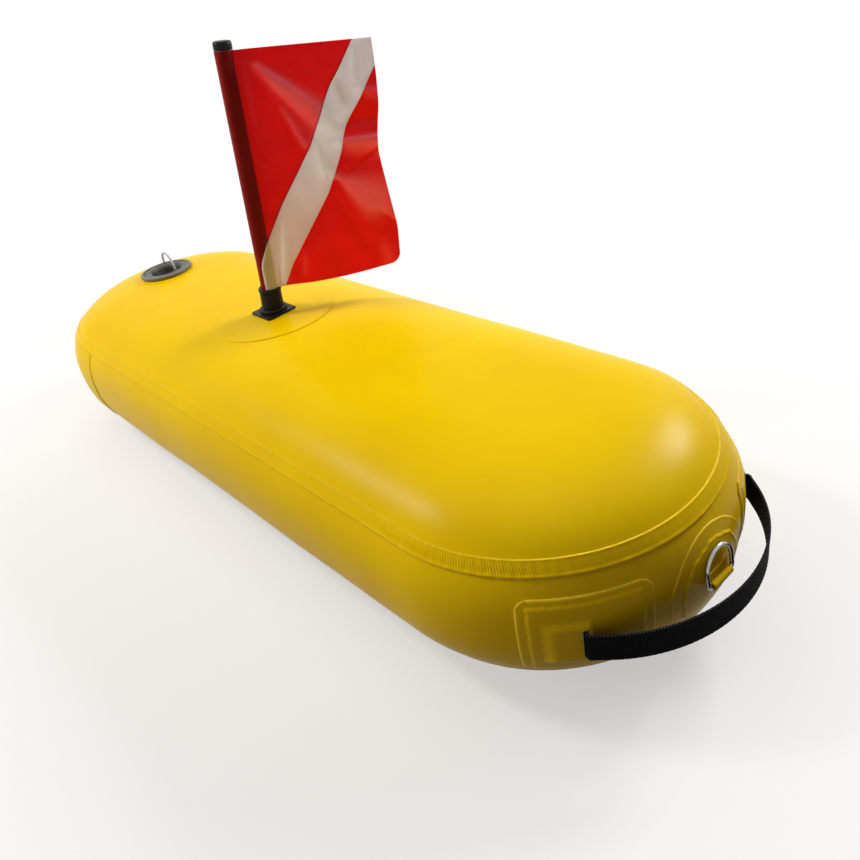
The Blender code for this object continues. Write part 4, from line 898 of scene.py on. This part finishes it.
def ring_patches():
    girth = girth_at(-0.0067)
    pad, step, outer = 0.0270, 0.0355, 0.0475

    def lift(x, y, radius):
        ragged = 0.0006 * np.sin(9 * np.arctan2(y, x)) + 0.0004 * np.sin(23 * np.arctan2(y, x) + 1)
        on_pad = smooth((step + ragged - radius) / 0.0022 + 1)
        ridge = 0.00045 * np.exp(-((radius - step - ragged) / 0.0008) ** 2)
        return GAP + (PAD_LIFT - 0.0001 - GAP) * on_pad + ridge + edge_bead(outer - radius)

    disc_piece("ring_pad_skin", "ring_pad", lines([0, pad], 0.004), 96,
               lambda x, y, radius: side_points(x, girth + y, GAP + 0 * radius), RING_PAD_THICKNESS, 0.00025)
    low, high = step - 0.003, step + 0.005
    radii = with_rim(lines([0, low, high, outer], 0.0022), outer, np.linspace(low, high, 16))
    disc_piece("ring_patch_skin", "ring_patch", radii, 160,
               lambda x, y, radius: side_points(x, girth + y, lift(x, y, radius)), RING_PATCH_THICKNESS, pale=True)


def tow_ring():
    half, height, bend = 0.0160, 0.0278, 0.0035
    leg = height - half
    line = [Vector((y, 0)) for y in spaced(bend - half, half - bend, 14)]
    line += arc((half - bend, bend), bend, -math.pi / 2, 0, 9)[1:]
    line += [Vector((half, z)) for z in spaced(bend, leg, 6)[1:-1]]
    line += arc((0, leg), half, 0, math.pi, 49)
    line += [Vector((-half, z)) for z in spaced(leg, bend, 6)[1:-1]]
    line += arc((bend - half, bend), bend, math.pi, 1.5 * math.pi, 9)[:-1]
    place = Matrix.Translation((RING_X, 0, RING_Z)) @ Matrix.Rotation(-math.radians(8), 4, "Y")
    tube("tow_ring_wire", [place @ Vector((0, *point)) for point in line], RING_WIRE_RADIUS, 20,
         (STEEL, "ring", "stainless_steel"), ("tow_ring",), closed=True)


def ring_tab():
    """The folded strip: its tail lies up the patch, its roll goes round the bar."""
    middle = TAB_INNER + TAB_THICKNESS / 2
    closing = math.pi - math.acos((TAB_INNER - GAP) / (TAB_INNER + TAB_THICKNESS))
    tail = [Vector((-middle, z)) for z in spaced(0.0105, 0, 12)]
    line = tail + arc((0, 0), middle, math.pi, TURN + closing, 60)[1:]
    x, z, run = (part[:, None] for part in (*np.array(line).T, runs(line)))
    x[:len(tail)] += 0.00025 * np.exp(-((z[:len(tail)] - 0.0062) / 0.0006) ** 2)
    half, rim = 0.0120, 0.001
    across = lines([-half, half, -half + rim, half - rim], 0.0015)
    made = weld(grid_piece("ring_tab_strip", stacked(RING_X + x, across, RING_Z + z), stacked(run, across),
                           WELD_FINISH, ("ring_tab",)))
    thicken(made, TAB_THICKNESS, 0, ROUNDED)


# ---- Mast, socket and flag ----
MAST_X = -0.0698
MAST_PATCH_RADIUS = 0.070
MAST_LEAN = math.radians(5.7)
MAST_HEADING = math.radians(53.1)
UPRIGHT = Matrix.Translation((MAST_X, 0, CROWN_Z))
MAST_PLACE = UPRIGHT @ Matrix.Rotation(MAST_HEADING, 4, "Z") @ Matrix.Rotation(MAST_LEAN, 4, "Y")
PLATE_SIDE = 0.0385
PLATE_LOW = GAP + PATCH_THICKNESS + GAP
PLATE_TOP = PLATE_LOW + 0.0022
SOCKET_FLOOR = PLATE_TOP + 0.0034
SOCKET_HEIGHT = 0.0262
POLE_BORE = 0.0058
POLE_RADIUS = 0.0078
SOCKET_BORE = POLE_RADIUS + 0.0009 + 0.0002
COLLAR_LOW = SOCKET_HEIGHT + GAP
COLLAR_HEIGHT = 0.0046
FLAG_FOOT = COLLAR_LOW + COLLAR_HEIGHT + GAP
SLEEVE_FOOT = FLAG_FOOT - 0.0030
SLEEVE_WALL = 0.0010
SLEEVE_RADIUS = POLE_RADIUS + 0.0006 + SLEEVE_WALL
FLAG_HOIST = 0.2420
FLAG_FLY = 0.153
POLE_TOP = FLAG_FOOT + FLAG_HOIST + GAP


def flatten(made):
    """Keeps flat faces flat beside rounded edges."""
    modify(made, "WEIGHTED_NORMAL", keep_sharp=True)


def socket_plate():
    def build(work):
        def rise(edge):
            return abs(edge.verts[0].co.z - edge.verts[1].co.z)

        bmesh.ops.create_cube(work, size=1)
        bmesh.ops.scale(work, vec=(PLATE_SIDE, PLATE_SIDE, PLATE_TOP - PLATE_LOW), verts=work.verts)
        corners = [edge for edge in work.edges if rise(edge) > 0.001]
        bmesh.ops.bevel(work, geom=corners, offset=0.0030, segments=8, profile=0.5, affect="EDGES")
        rims = [edge for edge in work.edges if rise(edge) < 0.0001 and len(edge.link_faces) == 2
                and edge.calc_face_angle() > 1]
        bmesh.ops.bevel(work, geom=rims, offset=0.0006, segments=3, profile=0.5, affect="EDGES")
        bmesh.ops.translate(work, vec=(0, 0, (PLATE_LOW + PLATE_TOP) / 2), verts=work.verts)

    mesh = bpy.data.meshes.new("socket_plate")
    remesh(mesh, build)
    mesh.transform(UPRIGHT)
    flatten(dress("socket_plate", mesh, SOCKET_FINISH, ("mast_socket",)))


def socket():
    socket_plate()
    base, low, high, side = 0.0090, PLATE_TOP - 0.0005, PLATE_TOP + 0.0045, 0.0158
    turned("socket_base_ring", [(base, low), (side, low), (side, PLATE_TOP + 0.0030), (0.0148, high), (base, high)],
           0.0007, 72, UPRIGHT, SOCKET_FINISH, ("mast_socket",))
    low, high, side, foot = PLATE_TOP + 0.0022, SOCKET_HEIGHT, 0.0122, 0.0125
    turned("socket_tube", [(0, low), (foot, low), (foot, low + 0.006), (side, high - 0.001), (side, high),
                           (SOCKET_BORE, high), (SOCKET_BORE, SOCKET_FLOOR), (0, SOCKET_FLOOR)],
           0.0004, 72, MAST_PLACE, SOCKET_FINISH, ("mast_socket",))
    low, high, side, neck = COLLAR_LOW, COLLAR_LOW + COLLAR_HEIGHT, 0.0129, SLEEVE_RADIUS + GAP
    turned("socket_rim", [(SOCKET_BORE, low), (side - 0.0009, low), (side - 0.0009, low + 0.0009),
                          (side, low + 0.0011, 0.0003), (side, high, 0.0012), (neck, high, 0.0005),
                          (neck, SLEEVE_FOOT - GAP), (SOCKET_BORE, SLEEVE_FOOT - GAP)],
           0.0003, 72, MAST_PLACE, SOCKET_FINISH, ("socket_collar",))


def mast():
    low, cap = SOCKET_FLOOR + GAP, POLE_TOP + GAP
    foot, inside, plug, tip = POLE_RADIUS + 0.0010, POLE_RADIUS + 0.0001, POLE_BORE - 0.0001, 0.0092
    turned("mast_tube", [(POLE_BORE, low + 0.0023), (POLE_RADIUS, low + 0.0023), (POLE_RADIUS, POLE_TOP),
                         (POLE_BORE, POLE_TOP)], 0.0002, 64, MAST_PLACE, (FIBRE, "mast", "glass_fibre"),
           ("mast_pole",))
    turned("mast_foot", [(0, low), (foot, low), (foot, low + 0.019), (inside, low + 0.019), (inside, low + 0.002),
                         (0, low + 0.002)], 0.0003, 64, MAST_PLACE, FITTING_FINISH, ("mast_ferrule",))
    turned("mast_tip", [(0, POLE_TOP - 0.012), (plug, POLE_TOP - 0.012), (plug, cap), (tip, cap, 0.0006),
                        (tip, cap + 0.008, 0.0030), (0, cap + 0.008)], 0.0003, 64, MAST_PLACE, FITTING_FINISH,
           ("mast_tip_cap",))


# Folds of the cloth, in millimetres: where each starts and ends (out, up), how open its start is, its width to the
# left and right of its run, its height to the front, and its painted light: a painted highlight on the vinyl above
# zero, painted shade below.
FOLDS = (
    (30, 226, 88, 175, 0.30, 9.0, 17.0, 4.4, 1.65),
    (47, 186, 65, 149, 0.60, 3.2, 4.5, 1.5, 0.65),
    (42, 200, 72, 164, 0.80, 3.4, 3.4, -1.5, -0.15),
    (15, 228, 14, 176, 0.80, 5.0, 7.0, 0.6, 0.14),
    (126, 198, 140, 194, 0.70, 4.0, 7.0, 2.0, 0.50),
    (106, 167, 144, 168, 0.80, 6.0, 6.0, -2.4, -0.25),
    (100, 150, 144, 149, 0.60, 3.6, 16.0, 3.0, 1.20),
    (104, 116, 144, 141, 0.60, 3.4, 3.4, -1.8, -0.45),
    (94, 112, 126, 82, 0.16, 30.0, 13.0, 1.6, 1.25),
    (84, 104, 112, 40, 0.50, 9.0, 9.0, -1.4, -0.20),
    (134, 40, 140, 16, 0.70, 8.0, 8.0, 1.2, 0.22),
    (46, 36, 43, 12, 0.80, 3.5, 3.5, 0.8, 0.22),
    (76, 148, 80, 122, 0.80, 3.0, 9.0, 1.6, 0.70),
    (80, 122, 90, 113, 0.90, 6.0, 2.0, 1.4, 0.70),
    (124, 232, 122, 208, 0.80, 4.0, 4.0, 1.2, 0.80),
    (106, 204, 112, 190, 0.80, 6.0, 6.0, -1.6, -0.60),
    (27, 70, 16, 8, 0.60, 7.0, 1.8, 1.5, 0.55),
    (21, 60, 10, 6, 0.60, 2.0, 4.0, -1.4, -0.40),
)
PINCH = (0.0925, 0.1215)


def flowing(marks, spread=0.003):
    """A smooth line through (up, out) marks in millimetres."""
    grid = np.arange(-0.030, 0.280, 0.0005)
    up, out = np.array(marks, float).T / 1000
    line = np.interp(grid, up, out)
    reach = np.arange(-16, 17) * 0.0005
    kernel = np.exp(-(reach / spread) ** 2)
    line = np.convolve(np.pad(line, 16, mode="edge"), kernel / kernel.sum(), "valid")
    return lambda height: np.interp(height, grid, line)


FLY_EDGE = flowing(((-30, 151), (42, 151.6), (79, 146), (113, 141), (130, 138.8), (146, 139.4), (177, 143.8),
                    (207, 144.4), (280, 141)), 0.006)
STRIPE_LEFT = flowing(((-30, -2.8), (26, -2.8), (34, -0.8), (53, 8.3), (90, 30), (122, 52.4), (148, 70), (178, 84.8),
                       (191, 90.8), (204, 98), (216, 107.2), (280, 149)))
STRIPE_RIGHT = flowing(((-30, 1), (-2, 17.5), (23, 30.6), (51, 49.6), (98, 81.6), (126, 95), (140, 101), (150, 103.4),
                        (161, 107), (172, 113.5), (186, 124.5), (216, 143), (280, 183)))


def crest(out, up, fold):
    """How much of a fold's full height stands at each place of the cloth."""
    start_out, start_up, end_out, end_up = (value / 1000 for value in fold[:4])
    opening, left, right = fold[4], fold[5] / 1000, fold[6] / 1000
    ahead, rise = end_out - start_out, end_up - start_up
    length = math.hypot(ahead, rise)
    share = np.clip(((out - start_out) * ahead + (up - start_up) * rise) / length ** 2, 0, 1)
    off = np.hypot(out - start_out - share * ahead, up - start_up - share * rise)
    aside = (ahead * (up - start_up) - rise * (out - start_out)) / length
    width = (right + (left - right) * smooth(0.5 + aside / 0.004)) * (opening + (1 - opening) * share)
    return np.exp(-(off / width) ** 2) * (0.55 + 0.45 * smooth(share * 3))


def drape(out, up):
    """How far the cloth hangs behind the flag's middle plane."""
    front = sum(crest(out, up, fold) * fold[7] / 1000 for fold in FOLDS)
    away, turn = np.hypot(out - PINCH[0], up - PINCH[1]), np.arctan2(up - PINCH[1], out - PINCH[0])
    front = front + 0.0004 * np.exp(-(away / 0.011) ** 2) * np.clip(away / 0.005, 0, 1) * np.sin(11 * turn + 1)
    for edge in (STRIPE_LEFT, STRIPE_RIGHT):
        off = out - edge(up)
        front = front + 0.00012 * np.exp(-(off / 0.004) ** 2) * np.sin(TURN * up / 0.0062 + 2 * np.sin(up * 90))
    loose = smooth((out - SLEEVE_RADIUS) / 0.030)
    curl = 0.003 * np.maximum((out - 0.090) / 0.060, 0) ** 2
    return curl - front * loose - 0.0046 * np.exp(-np.maximum(out - SLEEVE_RADIUS, 0) / 0.010)


def on_mast(out, back, up):
    """Places out from the mast's middle line, back from the flag's middle plane and up from the flag's foot."""
    return placed(stacked(out, back, FLAG_FOOT + up), MAST_PLACE)


def flag_points(out, up, off=0.0):
    """Points of the cloth, off its own middle by off."""
    return on_mast(out, drape(out, up) + off, up)


def stripe_points(out, up):
    """The stripe runs on from the cloth round the front of the sleeve."""
    seam = 0.00035 * np.exp(-((out - 0.0060) / 0.0010) ** 2)
    on_sleeve = on_mast(out, -np.sqrt(np.maximum((SLEEVE_RADIUS + 0.0009) ** 2 - out ** 2, 0)) - seam, up)
    share = smooth((out - 0.0070) / 0.0030)[..., None]
    return on_sleeve * (1 - share) + flag_points(out, up) * share


def painted_fold_light(made):
    """Marks painted light on the vinyl: highlight over its folds' crests, shade in their hollows and beside the
    sleeve.
    """
    back = MAST_PLACE.inverted()
    places = np.array([tuple(back @ vertex.co) for vertex in made.data.vertices])
    out, up = places[:, 0], places[:, 2] - FLAG_FOOT
    share = 0.25 + 0.75 * sum(crest(out, up, fold) * fold[8] for fold in FOLDS)
    # Painted shade: the mark falls to nothing next to the sleeve, so the cloth there takes its deep colour.
    mark(made, "painted_fold_light", share * smooth(out / 0.020))


def stitches(rows):
    """Short thread bars laid along each row of points; their near-black colour also paints the seams' shadow lines.
    """
    points, faces = [], []
    sides, half = 6, 0.00038
    for row in rows:
        for start, end in zip(row[::2], row[1::2]):
            start, end = Vector(start), Vector(end)
            heading = (end - start).normalized()
            side = heading.orthogonal().normalized()
            other = heading.cross(side)
            base = len(points)
            for along, size in ((0, 0.35), (0.15, 1), (0.85, 1), (1, 0.35)):
                spots = [polar(half * size, TURN * n / sides) for n in range(sides)]
                points += [start.lerp(end, along) + spot.x * side + spot.y * other for spot in spots]
            for low in (base, base + sides, base + 2 * sides):
                faces += [(low + n, low + (n + 1) % sides, low + sides + (n + 1) % sides, low + sides + n)
                          for n in range(sides)]
            faces += [tuple(range(base + sides - 1, base - 1, -1)), tuple(range(base + 3 * sides, base + 4 * sides))]
    return mesh_piece("flag_stitches", points, faces, (SEAM_SHADE_THREAD, "flag", "pvc_red"))


def flag_cloth():
    start, corner, heights = SLEEVE_RADIUS - 0.0016, 0.010, np.linspace(0, FLAG_HOIST, 200)
    out, up = np.meshgrid(np.linspace(start, FLAG_FLY, 130), heights, indexing="ij")
    over_x, over_y = out - (FLAG_FLY - corner), corner - up
    turning, share = turned_in(over_x, over_y)
    out = np.where(turning, FLAG_FLY - corner + over_x * share, out)
    up = np.where(turning, corner - over_y * share, up)
    chart = stacked(out, up)
    out = start + (out - start) * (FLY_EDGE(up) - start) / (FLAG_FLY - start)
    up = up + 0.0135 * np.clip((out - 0.045) / 0.105, 0, 1) ** 1.5 * (1 - up / FLAG_HOIST)
    cloth = grid_piece("flag_cloth", flag_points(out, up), chart, (RED, "flag", "pvc_red"),
                       ("flag_field_upper", "flag_field_lower"))
    painted_fold_light(thicken(cloth, 0.0007, 0, 0.0002))
    return cloth


def flag_stripe():
    across, up = np.meshgrid(np.linspace(0, 1, 41), np.linspace(0, FLAG_HOIST, 200), indexing="ij")
    left, right = STRIPE_LEFT(up), np.minimum(STRIPE_RIGHT(up), FLY_EDGE(up) - 0.0003)
    out = left + (right - left) * across
    band = weld(grid_piece("flag_stripe_band", stripe_points(out, up), stacked(out, up),
                           (WHITE, "flag", "pvc_white"), ("flag_stripe",)), 0.0001)
    painted_fold_light(thicken(band, 0.0016, 0, 0.0002))
    return band


def flag():
    cloth, band = flag_cloth(), flag_stripe()
    heights = np.arange(0.003, FLAG_HOIST - 0.002, 0.00135)
    spots = STRIPE_LEFT(heights) - 0.0012
    held = (spots > SLEEVE_RADIUS + 0.002) & (spots < FLY_EDGE(heights) - 0.001)
    rows = [flag_points(spots[held], heights[held], off) for off in (-0.00045, 0.00045)]
    heights = np.arange(0.036, FLAG_HOIST - 0.002, 0.00155)
    seam = np.full(len(heights), 0.0066)
    rows.append(on_mast(seam, -np.sqrt((SLEEVE_RADIUS + 0.0001) ** 2 - seam ** 2), heights))
    thread = stitches(rows)

    inside, top = SLEEVE_RADIUS - SLEEVE_WALL, FLAG_FOOT + FLAG_HOIST
    sleeve = turned("flag_sleeve_tube", [(inside, SLEEVE_FOOT), (SLEEVE_RADIUS, SLEEVE_FOOT), (SLEEVE_RADIUS, top),
                                         (inside, top)], 0.0003, 72, MAST_PLACE, (SHADED_SLEEVE_RED, "flag", "pvc_red"),
                    ("flag_sleeve",))


# ---- Valve ----
VALVE_X = -CORE - 0.030
VALVE_TILT = math.radians(1.2)
VALVE_Z = float(crown_height(VALVE_X, 0)) + GAP + PATCH_THICKNESS + GAP
TILT = Matrix.Rotation(-VALVE_TILT, 4, "Y")
VALVE_PLACE = Matrix.Translation((VALVE_X, 0, VALVE_Z)) @ TILT
VALVE_HOLE = 0.0253
VALVE_RADIUS = 0.0352
VALVE_INNER = VALVE_RADIUS - 0.0042
LIP_TOP = 0.0040
FLANGE_TOP = 0.0010
NECK = 0.0250
NECK_END = -0.0270
BORE = NECK - 0.0016
SEAT_TOP = -0.0200
SEAT_LOW = -0.0220
SEAT_BORE = 0.0095
CAP_LOW = FLANGE_TOP + GAP + 0.0006 + GAP
CAP_TOP = CAP_LOW + 0.0010
CAP_RADIUS = VALVE_INNER - GAP
CAP_WALL = 0.0016
POCKET = 0.0228
PLUG = 0.0211
POCKET_FLOOR = CAP_TOP - 0.0110
POPPET_RISE = 0.0060
POST_REACH = 0.0135
POST_TOP = 0.0080
POST_FOOT = VALVE_PLACE @ polar(POST_REACH, math.radians(40), POCKET_FLOOR)
LUG_HEADING = math.radians(158)
LUG_REACH = VALVE_RADIUS + 0.0026
LUG_EYE = 0.0016
LUG_LOW = 0.0010
LUG_HIGH = LUG_LOW + 0.0016
LEASH_WIRE = 0.0029


def leash_lug():
    """The lug behind the flange, with the eye that the leash is drawn through."""
    half, outer, inner = 0.0040, LUG_REACH + 0.0026, VALVE_RADIUS - 0.0010
    angle = np.linspace(0, TURN, 32, endpoint=False)[:, None]
    x, y = np.cos(angle), np.sin(angle)
    edge = np.minimum(np.abs(np.where(x > 0, outer, inner) - LUG_REACH) / np.maximum(np.abs(x), 1e-6),
                      half / np.maximum(np.abs(y), 1e-6))
    reach = np.hstack([LUG_EYE + 0 * edge, edge, edge, LUG_EYE + 0 * edge, LUG_EYE + 0 * edge])
    height = np.array([LUG_HIGH, LUG_HIGH, LUG_LOW, LUG_LOW, LUG_HIGH])
    points = stacked(LUG_REACH + reach * x, reach * y, height)
    made = weld(grid_piece("valve_lug", placed(points, VALVE_PLACE @ Matrix.Rotation(LUG_HEADING, 4, "Z")),
                           points[..., :2], VALVE_FINISH, ("valve_flange",), closed=True))
    modify(made, "BEVEL", width=0.0003, segments=2, limit_method="ANGLE")
    settle(made).data.shade_smooth()
    flatten(made)


def spokes():
    """The seat's hub and its three spokes, down in the neck."""
    middle, inner, outer, half = -0.0210, 0.0018, 0.0045, 0.0006
    turned("seat_hub", [(inner, middle - half), (outer, middle - half), (outer, middle + half),
                        (inner, middle + half)], 0.0002, 32, VALVE_PLACE, VALVE_FINISH, ("valve_flange",))
    for turn in range(3):
        spin = VALVE_PLACE @ Matrix.Rotation(TURN * turn / 3, 4, "Z")
        line = [spin @ Vector((reach, 0, middle)) for reach in spaced(0.0040, 0.0102, 6)]
        tube("seat_spoke_%d" % turn, line, 0.0007, 12, VALVE_FINISH, ("valve_flange",))


def valve():
    crown_disc("valve_patch_skin", "valve_patch", VALVE_HOLE, VALVE_RADIUS + 0.0048, VALVE_X, 4)
    turned("valve_body", [(NECK, 0), (VALVE_RADIUS, 0), (VALVE_RADIUS, LIP_TOP, 0.0010),
                          (VALVE_INNER, LIP_TOP, 0.0005), (VALVE_INNER, FLANGE_TOP), (BORE, FLANGE_TOP),
                          (BORE, SEAT_TOP), (SEAT_BORE, SEAT_TOP), (SEAT_BORE, SEAT_LOW), (BORE, SEAT_LOW),
                          (BORE, NECK_END), (NECK, NECK_END)],
           0.0004, 128, VALVE_PLACE, VALVE_FINISH, ("valve_flange",))
    leash_lug()
    spokes()
    turned("valve_plug_cap", [(0, POCKET_FLOOR - CAP_WALL), (PLUG, POCKET_FLOOR - CAP_WALL, 0.0008),
                              (PLUG, CAP_LOW), (CAP_RADIUS, CAP_LOW), (CAP_RADIUS, CAP_TOP, 0.0004),
                              (POCKET + 0.0014, CAP_TOP, 0.0004), (POCKET, CAP_TOP - 0.0006, 0.0006),
                              (PLUG - 0.0012, CAP_LOW - 0.0014, 0.0012), (PLUG - CAP_WALL, POCKET_FLOOR, 0.0016),
                              (0, POCKET_FLOOR)], 0.0004, 128, VALVE_PLACE, (CAP_GREY, "cap", "valve_grey"),
           ("valve_cap",))
    turned("valve_cap_post", [(0, -0.0004), (0.0034, -0.0004), (0.0031, 0.0010), (0.0030, POST_TOP, 0.0008),
                              (0, POST_TOP)], 0.0004, 40, Matrix.Translation(POST_FOOT) @ TILT,
           (VALVE, "cap", "valve_grey"), ("valve_cap",))


def valve_spring():
    """The coil under the poppet's button, which the button presses down on the seat."""
    radius, wire, curls = 0.0035, 0.0006, 4
    low = SEAT_TOP + wire / 2 + GAP
    high = SEAT_TOP + POPPET_RISE - wire / 2 - GAP
    line = [VALVE_PLACE @ polar(radius, TURN * turn, low + (high - low) * turn / curls)
            for turn in spaced(0, curls, 161)]
    made = tube("valve_spring_coil", line, wire / 2, 8, (STEEL, None, "stainless_steel"), ("valve_spring",))
    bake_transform(made)


def valve_leash():
    up = (VALVE_PLACE.to_3x3() @ Vector((0, 0, 1))).normalized()
    start = POST_FOOT + up * (POST_TOP + GAP)
    eye = VALVE_PLACE @ polar(LUG_REACH, LUG_HEADING)
    landing = eye + up * (LUG_HIGH + LEASH_WIRE / 2)
    pulls = (start, start + up * 0.026, landing + up * 0.022, landing)
    line = []
    for share in spaced(0, 1, 36):
        back = 1 - share
        line.append(back ** 3 * pulls[0] + 3 * back ** 2 * share * pulls[1] + 3 * back * share ** 2 * pulls[2]
                    + share ** 3 * pulls[3])
    line.append(eye + up * 0.0005)
    made = tube("valve_leash_cord", line, LEASH_WIRE / 2, 20, (CORD_WITH_PAINTED_SHADE, None, "cord_white"), ("valve_leash",))
    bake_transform(made)


# ---- The float ----
hull()
joint_weld()
crown_disc("mast_patch_skin", "mast_patch", 0, MAST_PATCH_RADIUS, MAST_X, 24)
for side, tag in ((-1, "near"), (1, "far")):
    handle_patches(side, tag)
handle()
ring_patches()
tow_ring()
ring_tab()
socket()
mast()
flag()
valve()
valve_spring()
valve_leash()

NODE_LOOKS = {"rubber_black": RUBBER, "valve_grey": VALVE, "seal_rubber": SEAL, "stainless_steel": STEEL}
SLOTS = {row["node"]: row["material_slot"] for row in frame["record"]["subparts"]}
for name, node in frame["nodes"].items():
    if not node.hide_render and SLOTS[name] in NODE_LOOKS:
        node.data.materials.clear()
        node.data.materials.append(NODE_LOOKS[SLOTS[name]])


# ---- Floor, light and camera ----
def floor():
    """A pale floor that keeps the shadow, and looks as white to the camera as the background."""
    far = 40.0
    mesh = bpy.data.meshes.new("floor")
    mesh.from_pydata([(-far, -far, 0), (far, -far, 0), (far, far, 0), (-far, far, 0)], [], [(0, 1, 2, 3)])
    made = bpy.data.objects.new("floor", mesh)
    made.location.z = -0.0006
    bpy.context.scene.collection.objects.link(made)
    look = Shader("floor", (0.15, 0.13, 0.11), 0.9)
    pale = look.add("BsdfDiffuse", None, Color=(0.97, 0.97, 0.97, 1))
    glow = look.add("Emission", None, Color=(1, 1, 1, 1), Strength=1.0)
    away = look.add("VectorMath", {"operation": "LENGTH"}, Vector=look.where).outputs["Value"]
    look.white_behind("Material Output", look.principled,
                      look.blend(look.fit(away, 0.50, 1.0, 0.45, 0.90), pale, glow))
    mesh.materials.append(look.material)


def world():
    """Warm, dim light all round, behind a white background."""
    made = bpy.data.worlds.new("studio")
    bpy.context.scene.world = made
    look = Nodes(made)
    dim = look.tree.nodes["Background"]
    look.set(dim, "Color", (1.0, 0.82, 0.62, 1))
    look.set(dim, "Strength", 0.11)
    look.white_behind("World Output", dim, look.add("Background", None, Color=(1, 1, 1, 1), Strength=1.0))


def lamp(name, place, aim, size, power, colour=(1, 1, 1), mirrored=True):
    data = bpy.data.lights.new(name, "AREA")
    data.shape = "RECTANGLE"
    data.size, data.size_y = size
    data.energy = power
    data.color = colour
    made = bpy.data.objects.new(name, data)
    made.location = place
    made.rotation_euler = (Vector(aim) - Vector(place)).to_track_quat("-Z", "Y").to_euler()
    made.visible_glossy = mirrored
    bpy.context.scene.collection.objects.link(made)


def camera():
    """The photograph's camera: heading, pitch and roll, and its place and focal length in pixels."""
    heading, pitch, roll = (math.radians(angle) for angle in (53.141, 32.775, -11.615))
    focal, picture, sensor = 768.73, 860, 36
    data = bpy.data.cameras.new("camera")
    made = bpy.data.objects.new("camera", data)
    bpy.context.scene.collection.objects.link(made)
    ahead = Vector((-math.sin(heading) * math.cos(pitch), math.cos(heading) * math.cos(pitch), -math.sin(pitch)))
    right = ahead.cross(Vector((0, 0, 1))).normalized()
    upward = right.cross(ahead)
    across = math.cos(roll) * right + math.sin(roll) * upward
    upright = -math.sin(roll) * right + math.cos(roll) * upward
    place = Matrix((across, upright, -ahead)).transposed().to_4x4()
    place.translation = Vector((0.6899, -0.3838, 0.5123))
    made.matrix_world = place
    data.sensor_width = sensor
    data.lens = sensor * focal / picture
    data.clip_start, data.clip_end = 0.01, 60
    bpy.context.scene.camera = made


floor()
world()
lamp("window", (-0.95, -0.72, 1.50), (0.0, 0.0, 0.1), (0.34, 0.28), 11.5)
lamp("far_window", (0.45, 1.35, 1.00), (0.15, 0.0, 0.15), (0.42, 0.29), 17)
lamp("ceiling", (0.05, 0.0, 2.0), (0.0, 0.0, 0.1), (1.5, 1.5), 8.3, (1.0, 0.98, 0.94), False)
lamp("side", (-1.15, -1.65, 0.75), (-0.10, -0.1, 0.1), (1.2, 0.9), 17, (1.0, 0.95, 0.86), False)
lamp("back", (-1.45, 1.25, 0.32), (0.0, 0.05, 0.28), (1.0, 0.6), 18, (1.0, 0.98, 0.96), False)
camera()
bpy.context.scene.view_settings.view_transform = "Standard"
